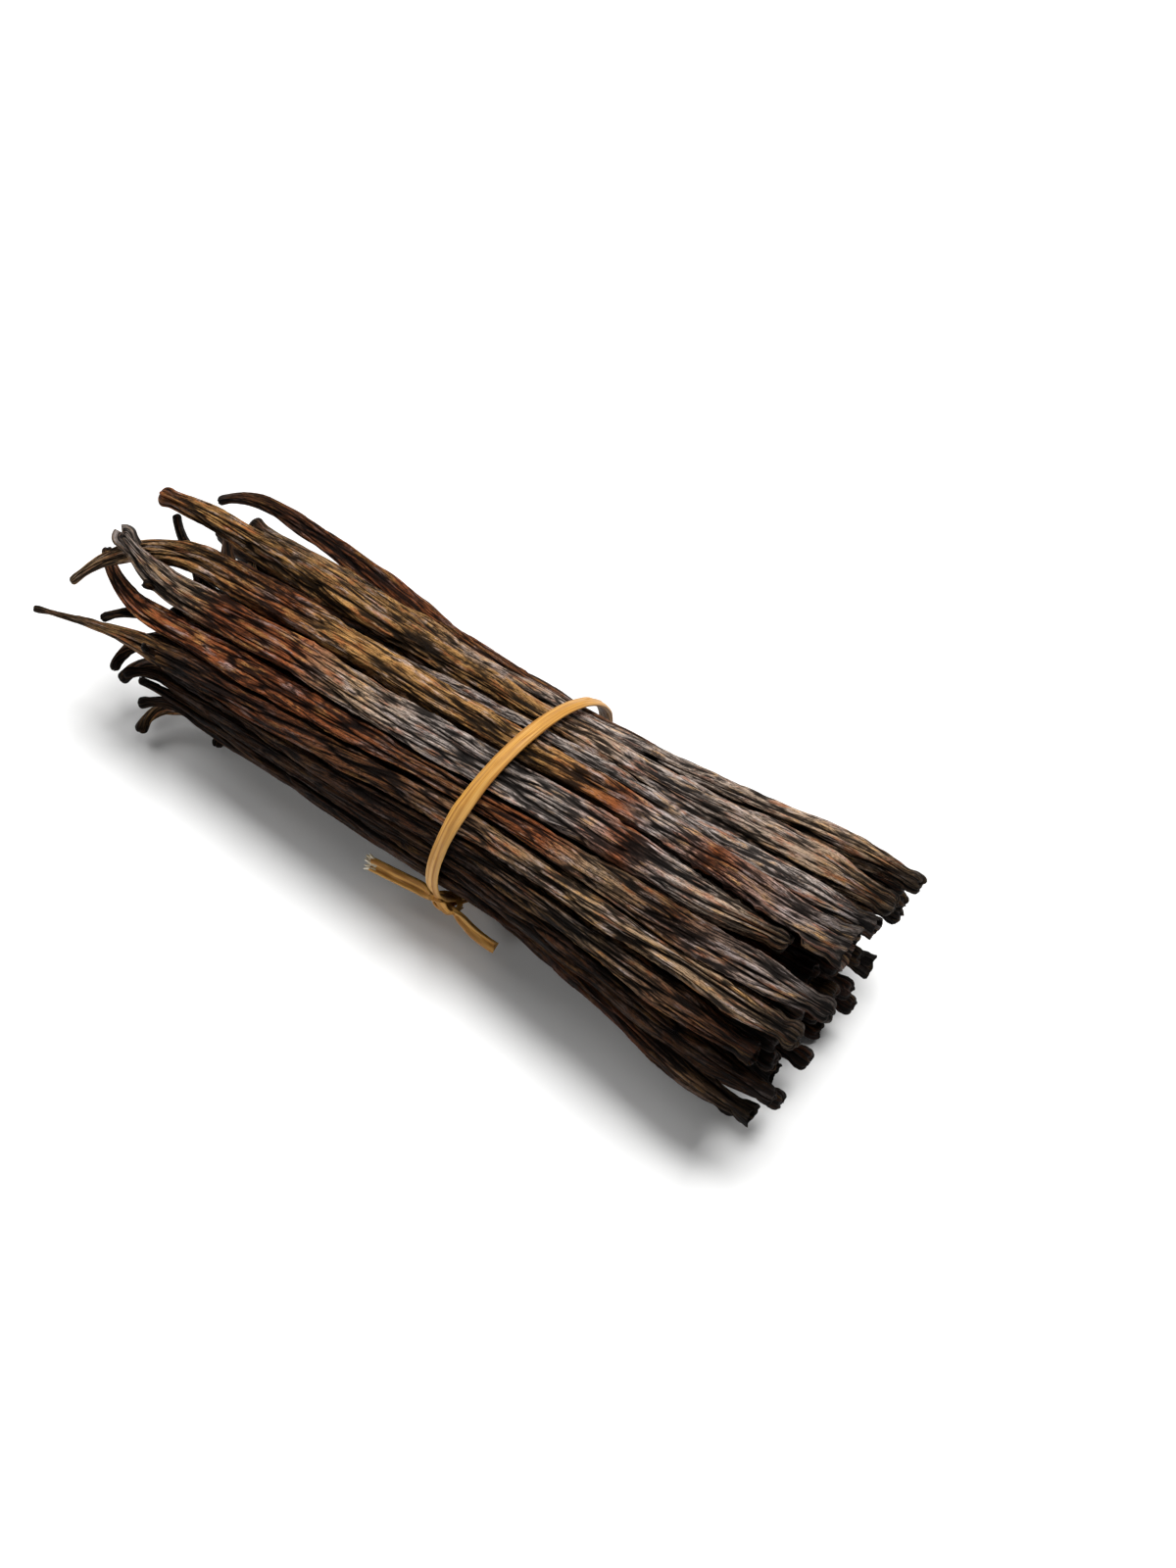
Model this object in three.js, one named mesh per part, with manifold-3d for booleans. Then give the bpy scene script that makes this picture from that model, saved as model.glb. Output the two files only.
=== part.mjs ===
// A hand-tied bundle of cured vanilla pods, lying on its side.
// About forty long, thin, wrinkled pods run side by side, squeezed flat against each other, with one
// strip of raffia round the middle, knotted low on the near side. The stem ends splay and curl over,
// and the blunt ends fan out.
// Millimetres and degrees. +X runs from the curled stem ends to the blunt ends, -Y is the near side,
// +Z is up, and the floor is z = 0.

import * as THREE from 'three';
import { mergeVertices } from 'three/addons/utils/BufferGeometryUtils.js';
import Module from 'manifold-3d';

// The bundle's outline: half its width and half its height at the tie, at the stem ends and at the
// blunt ends. reach is how far the end is from the tie, sway how far its middle lies to the far side,
// and rise how far its middle is above half its height: below, as the pods sag.
const TIE = { width: 20.3, height: 19.6 };
const STEM_END = { width: 18.2, height: 18.4, reach: 78, sway: 1.2, rise: -1.7 };
const BLUNT_END = { width: 25.4, height: 21.4, reach: 62, sway: -1.6, rise: -1.1 };
const NOMINAL_RADIUS = 20; // the rings' radii below are for a bundle of this radius

// The pods' sections.
const FLATNESS = 0.86; // height over width where a pod is free
const LOBES = 0.05; // a cured pod is slightly three-cornered
const PRESS = 7; // how squarely a pod fills the room that its neighbours leave
const BITE = 0.25; // how far neighbouring pods run into each other, so that they fuse
const THINNEST = 0.35; // the least that neighbours leave of a pod, as a share of its free thickness
const PAST_END = { from: 0.8, slope: 2 }; // room won back where a neighbour has ended
const NECK = { length: 12, share: 0.34 }; // the stem tip's quick growth, as a share of the whole growth
const GROWTH = 46; // from the stem tip to the full thickness
const BLUNT = { length: 14, share: 0.8 }; // the narrower last stretch to the blunt end
const SWELL = { share: 0.05, length: 13 }; // slow waves in a pod's thickness
const WANDER = { size: 0.34, length: 9, clear: 20, turn: 3, off: 0.4 }; // slow waves in its course
const CURL_START = 1.4; // how late in its length a tip does its curling
const STEP = 1.5; // spacing of the points on a pod's line
const FLOOR_SEAT = 2.2; // lowest height of a pod's middle: what the bundle rests on is pressed flat
const TIP_SEAT = 1.5; // the same at the stem ends, where they are thinner
const END_SHRINK = { blunt: 0.66, stem: 0.6 }; // the rounding-off of the last section at each end
const CORE = { radius: 15.2, sides: 18, places: [44, 25, 0, -25, -54] }; // the bar inside the outer ring

// The raffia tie.
const STRIP = { width: 2.7, thickness: 0.9, clearance: 0.35, squareness: 0.7 };
const FLOOR_GAP = 0.3; // under the loop
const GRIP = { half: 4, slope: 0.012, power: 1.3, reach: 40 }; // how the pods swell out past the strip
const LEAN = { reach: 3.5, towards: 150, shift: 0.8 }; // the loop isn't quite square to the bundle
const KNOT = { angle: -38, length: 5.4, width: 4.6, thickness: 3.3 };
const ARCH = { spread: 0.42, width: 2.6, thickness: 1.1, steps: 8 }; // the turn over the knot
const LONG_END = { length: 16, width: 2.5, droop: 1.5 };
const SHORT_END = { length: 11, width: 2.3, droop: 2.5 };
const END_START = 1.5; // height in the knot at which the loose ends leave it
const END_BOW = { size: 1.6, phase: 2.2 }; // how they bow away from the bundle
const LOOP_STEPS = 60;
const END_STEPS = 7;

// How finely the solids are drawn.
const SIDES = { outer: 7, inner: 5, strip: 6 };
const STATIONS = {
  blunt: [1.2, 10, 24, 40], // from the blunt end
  tie: 3.2, // either side of the strip
  first: 19, // from the tie towards the stem end, and then every spacing until clear of the tip
  spacing: 17,
  clear: 6,
  bend: 35, // degrees of a tip's turn for one more section
  last: 0.7, // from the tip's end
};
const FINISH = {
  pods: { color: 0x3a261a, roughness: 0.55, metalness: 0 },
  tie: { color: 0xc08a3e, roughness: 0.6, metalness: 0 },
};

// The height of the bundle's middle at the tie.
const AXIS_HEIGHT = TIE.height + STRIP.clearance + STRIP.thickness + FLOOR_GAP;

// The pods that show from the near side, from the far edge down to the near one.
// seat, stem and blunt are angles round the bundle, from the near side upwards, at the tie and at each
// end. back and front are the distances from the tie to the start of the stem tip and to the blunt end.
// lift is how far the pod stands off the bundle at the stem end, and spread the same at the blunt end.
// A tip has a length, the angle it turns through, the way it bends (an angle as above) and half the
// thickness of its end.
const SHOWN = [
  { seat: 147, stem: 147, blunt: 155, width: 5.8, back: 69, front: 65, lift: 10.1,
    tip: { length: 15, turn: 41, bend: -55, end: 0.9 } },
  { seat: 132, stem: 126, blunt: 139, width: 6.2, back: 64, front: 68, lift: 6.6, spread: 2.0,
    tip: { length: 6, turn: 25, bend: 85, end: 1.3 } },
  { seat: 116, stem: 112, blunt: 120, width: 7.0, back: 73, front: 67, lift: 6.9, spread: 0.4,
    tip: { length: 12, turn: 15, bend: 44, end: 1.8 } },
  { seat: 101, stem: 104, blunt: 102, width: 5.0, back: 60, front: 67, lift: -3.0, spread: 0.2,
    tip: { length: 8, turn: 80, bend: 80, end: 0.8 } },
  { seat: 88, stem: 93, blunt: 88, width: 7.2, back: 64, front: 66, lift: 4.1, spread: 1.2,
    tip: { length: 33, turn: 76, bend: -19, end: 0.8 } },
  { seat: 70, stem: 71, blunt: 78, width: 8.4, back: 66, front: 57, lift: 1.6, spread: -0.2,
    tip: { length: 21, turn: 42, bend: 108, end: 1.5 } },
  { seat: 53, stem: 48, blunt: 60, width: 6.6, back: 68, front: 68.6, lift: -0.2, spread: 0.4,
    tip: { length: 26, turn: 41, bend: 173, end: 1.1 } },
  { seat: 38, stem: 30, blunt: 44, width: 6.4, back: 59, front: 66, lift: 1.6,
    tip: { length: 38, turn: 17, bend: -6, end: 0.6 } },
  { seat: 22, stem: 20, blunt: 25, width: 6.2, back: 62, front: 61, lift: 0,
    tip: { length: 15, turn: 130, bend: 70, end: 0.7 } },
  { seat: 7, stem: 7, blunt: 7, width: 6.3, back: 68, front: 66, lift: -0.4,
    tip: { length: 9, turn: 60, bend: 10, end: 0.9 } },
  { seat: -9, stem: -7, blunt: -12, width: 6.4, back: 62, front: 64, lift: 0, spread: 1.6,
    tip: { length: 14, turn: 95, bend: 60, end: 0.8 } },
  { seat: -26, stem: -23, blunt: -30, width: 6.2, back: 66, front: 60, lift: 0.3, spread: 2.2,
    tip: { length: 10, turn: 50, bend: 0, end: 0.9 } },
];

// The rest, by rule: the far side and underside of the outer ring, and the rings inside it.
const HIDDEN = { first: -45, last: -201, count: 10, ring: 16.9, width: 6.3 };
const INNER = [
  { ring: 11.3, count: 13, width: 6.1 },
  { ring: 5.7, count: 6, width: 6.0 },
  { ring: 0, count: 1, width: 6.0 },
];
const OUTER_RING = 16.9;

const rad = THREE.MathUtils.degToRad;
const mix = THREE.MathUtils.lerp;
const ease = (u) => THREE.MathUtils.smoothstep(u, 0, 1);

// A number from 0 to 1 that is always the same for one pod and one use.
function chance(pod, use) {
  const v = Math.sin(pod * 12.9898 + use * 78.233) * 43758.5453;
  return v - Math.floor(v);
}

// A unit vector at an angle round the bundle.
function outward(angle) {
  return new THREE.Vector3(0, -Math.cos(rad(angle)), Math.sin(rad(angle)));
}

// The bundle's middle and half sizes at a distance x from the tie.
function outline(x) {
  const end = x < 0 ? STEM_END : BLUNT_END;
  const u = ease(Math.abs(x) / end.reach);
  const height = mix(TIE.height, end.height, u);
  return {
    width: mix(TIE.width, end.width, u),
    height,
    middle: new THREE.Vector3(x, end.sway * u, mix(AXIS_HEIGHT, end.height + end.rise, u)),
  };
}

// A pod that the tables leave to rule.
function ruledPod(index, seat, ring, width) {
  const pick = (low, high, use) => mix(low, high, chance(index, use));
  return {
    seat,
    stem: seat + pick(-5, 5, 1),
    blunt: seat + pick(-5, 5, 2),
    width: width * pick(0.94, 1.06, 3),
    back: pick(56, 74, 4),
    front: pick(55, 66, 5),
    lift: pick(-0.6, 1.6, 6),
    spread: pick(-0.5, 0.9, 7),
    tip: {
      length: pick(8, 18, 8),
      turn: pick(20, 120, 9),
      bend: seat + pick(-80, 80, 10),
      end: pick(0.8, 1.2, 11),
    },
    ring,
  };
}

function allPods() {
  const pods = SHOWN.map((pod) => ({ spread: 0, ring: OUTER_RING, sides: SIDES.outer, ...pod }));
  for (let k = 0; k < HIDDEN.count; k++) {
    const seat = mix(HIDDEN.first, HIDDEN.last, k / (HIDDEN.count - 1));
    pods.push({ ...ruledPod(pods.length, seat, HIDDEN.ring, HIDDEN.width), sides: SIDES.outer });
  }
  for (const { ring, count, width } of INNER) {
    for (let k = 0; k < count; k++) {
      const seat = (360 * (k + 0.5)) / count + 3 * ring;
      pods.push({ ...ruledPod(pods.length, seat, ring, width), sides: SIDES.inner });
    }
  }
  return pods.map((pod, index) => ({ ...pod, index }));
}

// Where a pod's middle line passes at a distance x from the tie.
function seatPoint(pod, x) {
  const { width, height, middle } = outline(x);
  const end = x < 0 ? STEM_END : BLUNT_END;
  const u = ease(Math.abs(x) / end.reach);
  const phase = 2 * Math.PI * chance(pod.index, 20);
  const wander = WANDER.size * Math.sin(x / WANDER.length + phase) * ease(Math.abs(x) / WANDER.clear);
  const angle = mix(pod.seat, x < 0 ? pod.stem : pod.blunt, u) + wander * WANDER.turn;
  const ring = pod.ring + (x < 0 ? pod.lift : pod.spread) * u + wander * WANDER.off;
  const way = outward(angle);
  const lowest = mix(FLOOR_SEAT, x < 0 ? TIP_SEAT : FLOOR_SEAT, u);
  return new THREE.Vector3(
    x,
    middle.y + (way.y * ring * width) / NOMINAL_RADIUS,
    Math.max(middle.z + (way.z * ring * height) / NOMINAL_RADIUS, lowest),
  );
}

// A pod's middle line from its blunt end to its stem tip, as points one STEP apart.
function middleLine(pod) {
  const points = [];
  for (let x = pod.front; x > -pod.back; x -= STEP) points.push(seatPoint(pod, x));
  const [before, last] = points.slice(-2);
  const heading = last.clone().sub(before).normalize();
  const bend = outward(pod.tip.bend);
  bend.addScaledVector(heading, -bend.dot(heading)).normalize();
  const steps = Math.round(pod.tip.length / STEP);
  let place = last;
  for (let k = 1; k <= steps; k++) {
    const turned = rad(pod.tip.turn) * (k / steps) ** CURL_START;
    place = place
      .clone()
      .addScaledVector(heading, STEP * Math.cos(turned))
      .addScaledVector(bend, STEP * Math.sin(turned));
    place.z = Math.max(place.z, TIP_SEAT);
    points.push(place);
  }
  return points;
}

// Half a pod's width at a distance from its blunt end.
function halfWidth(pod, along, length) {
  const fromTip = length - along;
  const growth = NECK.share * ease(fromTip / NECK.length) + (1 - NECK.share) * ease(fromTip / GROWTH);
  const swell = 1 + SWELL.share * Math.sin(along / SWELL.length + 2 * Math.PI * chance(pod.index, 21));
  const narrowing = mix(BLUNT.share, 1, ease(along / BLUNT.length));
  return mix(pod.tip.end, pod.width / 2, growth) * swell * narrowing;
}

// A pod with its line and its thickness worked out along it.
function laidPod(pod) {
  const line = middleLine(pod);
  const length = (line.length - 1) * STEP;
  const radii = line.map((_, k) => halfWidth(pod, k * STEP, length));
  return { ...pod, line, length, radii };
}

// The place, direction and half width at a distance along a laid pod.
function stationAt(pod, along) {
  const at = THREE.MathUtils.clamp(along / STEP, 0, pod.line.length - 1);
  const k = Math.min(Math.floor(at), pod.line.length - 2);
  const place = pod.line[k].clone().lerp(pod.line[k + 1], at - k);
  const ahead = pod.line[Math.min(k + 2, pod.line.length - 1)];
  const behind = pod.line[Math.max(k - 1, 0)];
  const heading = ahead.clone().sub(behind).normalize();
  return { place, heading, radius: mix(pod.radii[k], pod.radii[k + 1], at - k) };
}

// The planes that keep a pod's section off its neighbours: for each near pod, the way to it and how far
// the pod's own share of the room between them goes.
function neighbours(pod, station, pods) {
  const found = [];
  for (const other of pods) {
    if (other.index === pod.index) continue;
    let best = -1;
    let least = Infinity;
    other.line.forEach((point, k) => {
      const d = point.distanceToSquared(station.place);
      if (d < least) [least, best] = [d, k];
    });
    const radius = other.radii[best];
    if (Math.sqrt(least) > (station.radius + radius) * 1.3) continue;
    const gap = other.line[best].clone().sub(station.place);
    const along = gap.dot(station.heading);
    gap.addScaledVector(station.heading, -along);
    const distance = gap.length();
    if (distance < BITE) continue;
    const share = (distance ** 2 + station.radius ** 2 - radius ** 2) / (2 * distance);
    const slack = PAST_END.slope * Math.max(0, Math.abs(along) - PAST_END.from);
    const kept = Math.max(share, THINNEST * station.radius);
    found.push({ way: gap.divideScalar(distance), share: kept + slack + BITE });
  }
  return found;
}

// How far the tie lets a point go from the bundle's middle, as a share of the outline at the tie.
function beltLimit(x, angle) {
  const off = Math.abs(x - tieShift(angle)) - GRIP.half;
  return 1 + GRIP.slope * Math.max(0, off) ** GRIP.power;
}

// How far a ray from a pod's middle gets before it meets the tie's loop.
function reachToBelt(place, way) {
  const middle = outline(0).middle;
  const angle = THREE.MathUtils.radToDeg(Math.atan2(place.z - middle.z, -place.y));
  const limit = beltLimit(place.x, angle);
  const [w, h] = [TIE.width * limit, TIE.height * limit];
  const [py, pz, uy, uz] = [place.y / w, (place.z - middle.z) / h, way.y / w, way.z / h];
  const a = uy * uy + uz * uz;
  const b = py * uy + pz * uz;
  const c = py * py + pz * pz - 1;
  if (a === 0 || c > 0) return Infinity;
  return (-b + Math.sqrt(b * b - a * c)) / a;
}

// A pod's section at a station: points round its middle, in the plane square to its line.
function section(pod, along, side, pods, shrink = 1) {
  const station = stationAt(pod, along);
  const { place, heading, radius } = station;
  const up = side.clone().addScaledVector(heading, -side.dot(heading)).normalize();
  const across = new THREE.Vector3().crossVectors(up, heading);
  const walls = neighbours(pod, station, pods);
  const thin = radius / (pod.width / 2);
  const flat = mix(1, FLATNESS, Math.min(1, thin));
  const lobes = 2 * Math.PI * chance(pod.index, 22);
  const points = [];
  for (let k = 0; k < pod.sides; k++) {
    const turn = (2 * Math.PI * k) / pod.sides;
    const way = across.clone().multiplyScalar(Math.cos(turn)).addScaledVector(up, Math.sin(turn));
    const free = radius / Math.hypot(Math.cos(turn), Math.sin(turn) / flat);
    const limits = [free * (1 + LOBES * Math.cos(3 * turn + lobes))];
    for (const wall of walls) {
      const facing = way.dot(wall.way);
      if (facing > 0) limits.push(wall.share / facing);
    }
    if (Math.abs(place.x) < GRIP.reach) limits.push(reachToBelt(place, way));
    const reach = limits.reduce((sum, v) => sum + v ** -PRESS, 0) ** (-1 / PRESS);
    points.push(place.clone().addScaledVector(way, reach * shrink));
  }
  return points;
}

// A closed surface over rings of points, each ring seen anticlockwise from the next one.
function skin(rings, closed = false) {
  const sides = rings[0].length;
  const points = rings.flat();
  const index = [];
  const at = (ring, side) => (ring % rings.length) * sides + (side % sides);
  const joins = closed ? rings.length : rings.length - 1;
  for (let r = 0; r < joins; r++) {
    for (let k = 0; k < sides; k++) {
      index.push(at(r, k), at(r, k + 1), at(r + 1, k + 1));
      index.push(at(r, k), at(r + 1, k + 1), at(r + 1, k));
    }
  }
  if (!closed) {
    for (const [ring, back] of [[0, 1], [rings.length - 1, 0]]) {
      const centre = rings[ring].reduce((sum, p) => sum.add(p), new THREE.Vector3()).divideScalar(sides);
      points.push(centre);
      for (let k = 0; k < sides; k++) {
        index.push(points.length - 1, at(ring, k + back), at(ring, k + 1 - back));
      }
    }
  }
  const geometry = new THREE.BufferGeometry().setFromPoints(points);
  geometry.setIndex(index);
  return geometry;
}

// Distances along a pod at which its section changes: close together at the ends, wide apart between,
// and either side of the tie.
function stationsOf(pod) {
  const atTie = pod.front - tieShift(pod.seat);
  const places = [...STATIONS.blunt, atTie - STATIONS.tie, atTie + STATIONS.tie];
  const tipStart = pod.length - pod.tip.length;
  for (let along = atTie + STATIONS.first; along < tipStart - STATIONS.clear; along += STATIONS.spacing) {
    places.push(along);
  }
  const bends = Math.round(pod.tip.turn / STATIONS.bend) + 1;
  for (let k = 0; k <= bends; k++) places.push(mix(tipStart, pod.length - STATIONS.last, k / bends));
  return places;
}

function podSolid(pod, pods) {
  // The way out of the bundle, which a section's first point is turned to.
  const side = (along) => {
    const { place } = stationAt(pod, Math.min(along, pod.length - pod.tip.length));
    const way = place.clone().sub(outline(place.x).middle);
    return way.setX(0).lengthSq() > 1 ? way.normalize() : new THREE.Vector3(0, 0, 1);
  };
  const rings = [section(pod, 0, side(0), pods, END_SHRINK.blunt)];
  for (const along of stationsOf(pod)) rings.push(section(pod, along, side(along), pods));
  rings.push(section(pod, pod.length, side(pod.length), pods, END_SHRINK.stem));
  return skin(rings);
}

// The filling between the pods, out of sight: a plain round bar inside the outer ring.
function coreSolid() {
  const share = CORE.radius / NOMINAL_RADIUS;
  const rings = CORE.places.map((x) => {
    const { width, height, middle } = outline(x);
    return Array.from({ length: CORE.sides }, (_, k) => {
      const way = outward((360 * k) / CORE.sides);
      return new THREE.Vector3(x, middle.y + way.y * width * share, middle.z + way.z * height * share);
    });
  });
  return skin(rings);
}

// The tie's shift along the bundle at an angle round it.
function tieShift(angle) {
  return LEAN.shift + LEAN.reach * Math.cos(rad(angle - LEAN.towards));
}

// A point of the tie's loop: off is its distance out from the squeezed pods.
function tiePoint(angle, off) {
  const way = outward(angle);
  const middle = outline(0).middle;
  return new THREE.Vector3(
    tieShift(angle),
    middle.y + way.y * (TIE.width + off),
    middle.z + way.z * (TIE.height + off),
  );
}

// The outline of a flat strip with rounded edges, round a place, with its width and thickness directions.
function stripSection(place, broad, thick, width, thickness) {
  const square = (v) => Math.sign(v) * Math.abs(v) ** STRIP.squareness;
  return Array.from({ length: SIDES.strip }, (_, k) => {
    const turn = (2 * Math.PI * (k + 0.5)) / SIDES.strip;
    return place
      .clone()
      .addScaledVector(broad, (square(Math.cos(turn)) * width) / 2)
      .addScaledVector(thick, (square(Math.sin(turn)) * thickness) / 2);
  });
}

function tieLoop() {
  const rings = [];
  for (let k = 0; k < LOOP_STEPS; k++) {
    const angle = (360 * k) / LOOP_STEPS;
    const thick = outward(angle);
    const place = tiePoint(angle, STRIP.clearance + STRIP.thickness / 2);
    rings.push(stripSection(place, new THREE.Vector3(-1, 0, 0), thick, STRIP.width, STRIP.thickness));
  }
  return skin(rings, true);
}

// A loose end of the strip: it leaves the knot along the bundle, bows out and droops.
function looseEnd(direction, { length, width, droop }) {
  const start = tiePoint(KNOT.angle, STRIP.clearance + END_START);
  const out = outward(KNOT.angle);
  const points = [];
  for (let k = 0; k <= END_STEPS; k++) {
    const u = k / END_STEPS;
    const along = new THREE.Vector3(direction * length * u, 0, -droop * u * u);
    points.push(start.clone().add(along).addScaledVector(out, END_BOW.size * Math.sin(END_BOW.phase * u)));
  }
  const curve = new THREE.CatmullRomCurve3(points);
  const rings = points.map((_, k) => {
    const heading = curve.getTangent(k / END_STEPS);
    const broad = new THREE.Vector3().crossVectors(out, heading).normalize();
    const thick = new THREE.Vector3().crossVectors(heading, broad);
    return stripSection(curve.getPoint(k / END_STEPS), broad, thick, width, STRIP.thickness);
  });
  return skin(rings);
}

// The knot: a lump where the ends cross, with one turn of the strip arched over it.
function knotSolids() {
  const place = tiePoint(KNOT.angle, STRIP.clearance + KNOT.thickness / 2);
  const out = outward(KNOT.angle);
  const lump = new THREE.SphereGeometry(1, 14, 9);
  lump.deleteAttribute('uv');
  lump.deleteAttribute('normal');
  lump.scale(KNOT.width / 2, KNOT.length / 2, KNOT.thickness / 2);
  lump.rotateX(rad(90 - KNOT.angle));
  lump.translate(place.x, place.y, place.z);
  const broad = new THREE.Vector3().crossVectors(out, new THREE.Vector3(1, 0, 0));
  const arch = [];
  for (let k = 0; k <= ARCH.steps; k++) {
    const turn = Math.PI * (k / ARCH.steps);
    const thick = new THREE.Vector3(-Math.cos(turn), 0, 0).addScaledVector(out, Math.sin(turn));
    const centre = place
      .clone()
      .add(new THREE.Vector3(-Math.cos(turn) * KNOT.width * ARCH.spread, 0, 0))
      .addScaledVector(out, Math.sin(turn) * KNOT.thickness * ARCH.spread);
    arch.push(stripSection(centre, broad, thick, ARCH.width, ARCH.thickness));
  }
  return [lump, skin(arch)];
}

const wasm = await Module();
wasm.setup();

// A closed three.js geometry as a solid that can be joined and cut.
function solidOf(geometry) {
  const merged = mergeVertices(geometry, 1e-4);
  return new wasm.Manifold(
    new wasm.Mesh({
      numProp: 3,
      vertProperties: merged.attributes.position.array,
      triVerts: new Uint32Array(merged.index.array),
    }),
  );
}

// The largest body of a solid: a sealed hollow is filled and a loose scrap dropped.
function largestBody(solid) {
  return solid.decompose().reduce((best, body) => (body.volume() > best.volume() ? body : best));
}

function meshOf(name, solid, finish) {
  const { vertProperties, triVerts } = solid.getMesh();
  const geometry = new THREE.BufferGeometry();
  geometry.setAttribute('position', new THREE.BufferAttribute(new Float32Array(vertProperties), 3));
  geometry.setIndex(new THREE.BufferAttribute(new Uint32Array(triVerts), 1));
  const flat = geometry.toNonIndexed();
  flat.computeVertexNormals();
  const mesh = new THREE.Mesh(flat, new THREE.MeshStandardMaterial(finish));
  mesh.name = name;
  return mesh;
}

// The floor, as a block well past the bundle: the pods' undersides are pressed flat on it.
function floorSolid() {
  const depth = NOMINAL_RADIUS;
  const block = new THREE.BoxGeometry(20 * NOMINAL_RADIUS, 5 * NOMINAL_RADIUS, depth);
  block.deleteAttribute('uv');
  block.deleteAttribute('normal');
  return solidOf(block.translate(0, 0, -depth / 2));
}

function podsMesh() {
  const pods = allPods().map(laidPod);
  let bundle = solidOf(coreSolid());
  for (const pod of pods) bundle = bundle.add(solidOf(podSolid(pod, pods)));
  return meshOf('pods', largestBody(bundle.subtract(floorSolid())), FINISH.pods);
}

function tieMesh() {
  const pieces = [tieLoop(), looseEnd(-1, LONG_END), looseEnd(1, SHORT_END), ...knotSolids()];
  const tie = pieces.map(solidOf).reduce((sum, piece) => sum.add(piece));
  return meshOf('tie', largestBody(tie), FINISH.tie);
}

// The whole bundle, with the origin on the floor under the middle of its box.
const bundle = new THREE.Group();
bundle.add(podsMesh(), tieMesh());
const box = new THREE.Box3().setFromObject(bundle);
const centre = box.getCenter(new THREE.Vector3());
bundle.position.set(-centre.x, -centre.y, 0);

export default bundle;
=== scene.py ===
"""A hand-tied bundle of cured vanilla pods, lying on its side.

Every pod is laid in the bundle by rule, squeezed against its neighbours and wrinkled lengthwise, and
one strip of raffia goes round the middle, knotted low on the near side.
"""

import math

import bpy
import numpy as np
from bpy.props import FloatProperty, FloatVectorProperty, IntProperty, PointerProperty
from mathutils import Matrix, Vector


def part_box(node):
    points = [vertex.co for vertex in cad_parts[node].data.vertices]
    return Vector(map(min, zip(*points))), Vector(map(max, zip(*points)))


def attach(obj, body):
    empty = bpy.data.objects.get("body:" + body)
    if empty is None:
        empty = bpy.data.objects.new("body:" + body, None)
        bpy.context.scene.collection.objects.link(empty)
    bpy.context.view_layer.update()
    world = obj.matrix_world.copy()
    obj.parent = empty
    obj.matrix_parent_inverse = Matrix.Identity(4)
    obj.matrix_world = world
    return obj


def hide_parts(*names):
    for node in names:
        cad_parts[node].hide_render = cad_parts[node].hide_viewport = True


bl_info = {
    "name": "Vanilla pod bundle",
    "version": (1, 0, 0),
    "blender": (4, 5, 0),
    "location": "3D View > Sidebar > Vanilla",
    "description": "Builds a tied bundle of cured vanilla pods on a pale studio floor",
    "category": "Object",
}

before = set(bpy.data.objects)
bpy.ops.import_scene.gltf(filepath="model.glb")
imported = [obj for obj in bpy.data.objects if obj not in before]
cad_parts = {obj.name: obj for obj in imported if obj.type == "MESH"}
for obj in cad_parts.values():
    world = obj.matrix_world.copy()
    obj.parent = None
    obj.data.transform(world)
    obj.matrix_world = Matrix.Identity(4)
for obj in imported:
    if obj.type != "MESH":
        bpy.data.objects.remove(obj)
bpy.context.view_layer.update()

MM = 0.001

# ---- The bundle's layout, in millimetres and degrees, as in the part's source.

TIE = {"width": 20.3, "height": 19.6}
STEM_END = {"width": 18.2, "height": 18.4, "reach": 78, "sway": 1.2, "rise": -1.7}
BLUNT_END = {"width": 25.4, "height": 21.4, "reach": 62, "sway": -1.6, "rise": -1.1}
NOMINAL_RADIUS = 20
FLATNESS = 0.86
LOBES = 0.05
THINNEST = 0.35
PAST_END = {"from": 0.8, "slope": 2}
NECK = {"length": 12, "share": 0.34}
GROWTH = 46
BLUNT = {"length": 14, "share": 0.8}
SWELL = {"share": 0.05, "length": 13}
WANDER = {"size": 0.34, "length": 9, "clear": 20, "turn": 3, "off": 0.4}
CURL_START = 1.4
STEP = 1.5
FLOOR_SEAT = 2.2
TIP_SEAT = 1.5
CLEARANCE = 0.35
STRIP_THICKNESS = 0.9
FLOOR_GAP = 0.3
GRIP = {"half": 4, "slope": 0.012, "power": 1.3, "reach": 40}
LEAN = {"reach": 3.5, "towards": 150, "shift": 0.8}
KNOT_ANGLE = -38
KNOT_STEPS = 7  # places of the drawn path for each row of the knot's tables
# The raffia's loose ends: their way along the bundle, how far they turn their flat side up, the size
# and phase of the bow that takes them out from the pods, and the seed of their grain.
END_KEYS = ("towards", "length", "width", "droop", "thick", "turned", "bow", "seed")
LONG_END = dict(zip(END_KEYS, (-1, 16, 2.3, 0.4, 1.6, 1.0, (1.8, 0.8), 31.0)))
SHORT_END = dict(zip(END_KEYS, (1, 11, 2.0, 2.5, 1.1, 0.6, (1.6, 2.2), 47.0)))
END_START = 1.5
END_PLACES = 41
END_TURN = 2.5  # an end has turned fully at the length over this
END_FOLD = -0.5  # the loose ends are hollow along their middle
ENDS_FACE = (0, -0.45, 0.85)  # the way that the loose ends turn their flat side
# The cut fibres at the long end: their number and sizes, how they lie and stray within its width and
# thickness, and how they thin out (share of the length, width).
FRAY = {"count": 11, "places": 9, "length": 1.5, "least": 0.35, "back": 1.2, "width": 0.32, "seed": 9}
FRAY_WAY = {"fill": 0.9, "lift": 0.35, "spread": 0.35, "fan": 0.9, "stray": 0.5, "rise": 0.15, "turn": 0.6}
FRAY_DRAWN = [(0, 1), (0.6, 0.9), (1, 0.25)]
ALONG = np.array([1.0, 0, 0])  # the bundle's direction, towards the blunt ends
AXIS_HEIGHT = TIE["height"] + CLEARANCE + STRIP_THICKNESS + FLOOR_GAP

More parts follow.
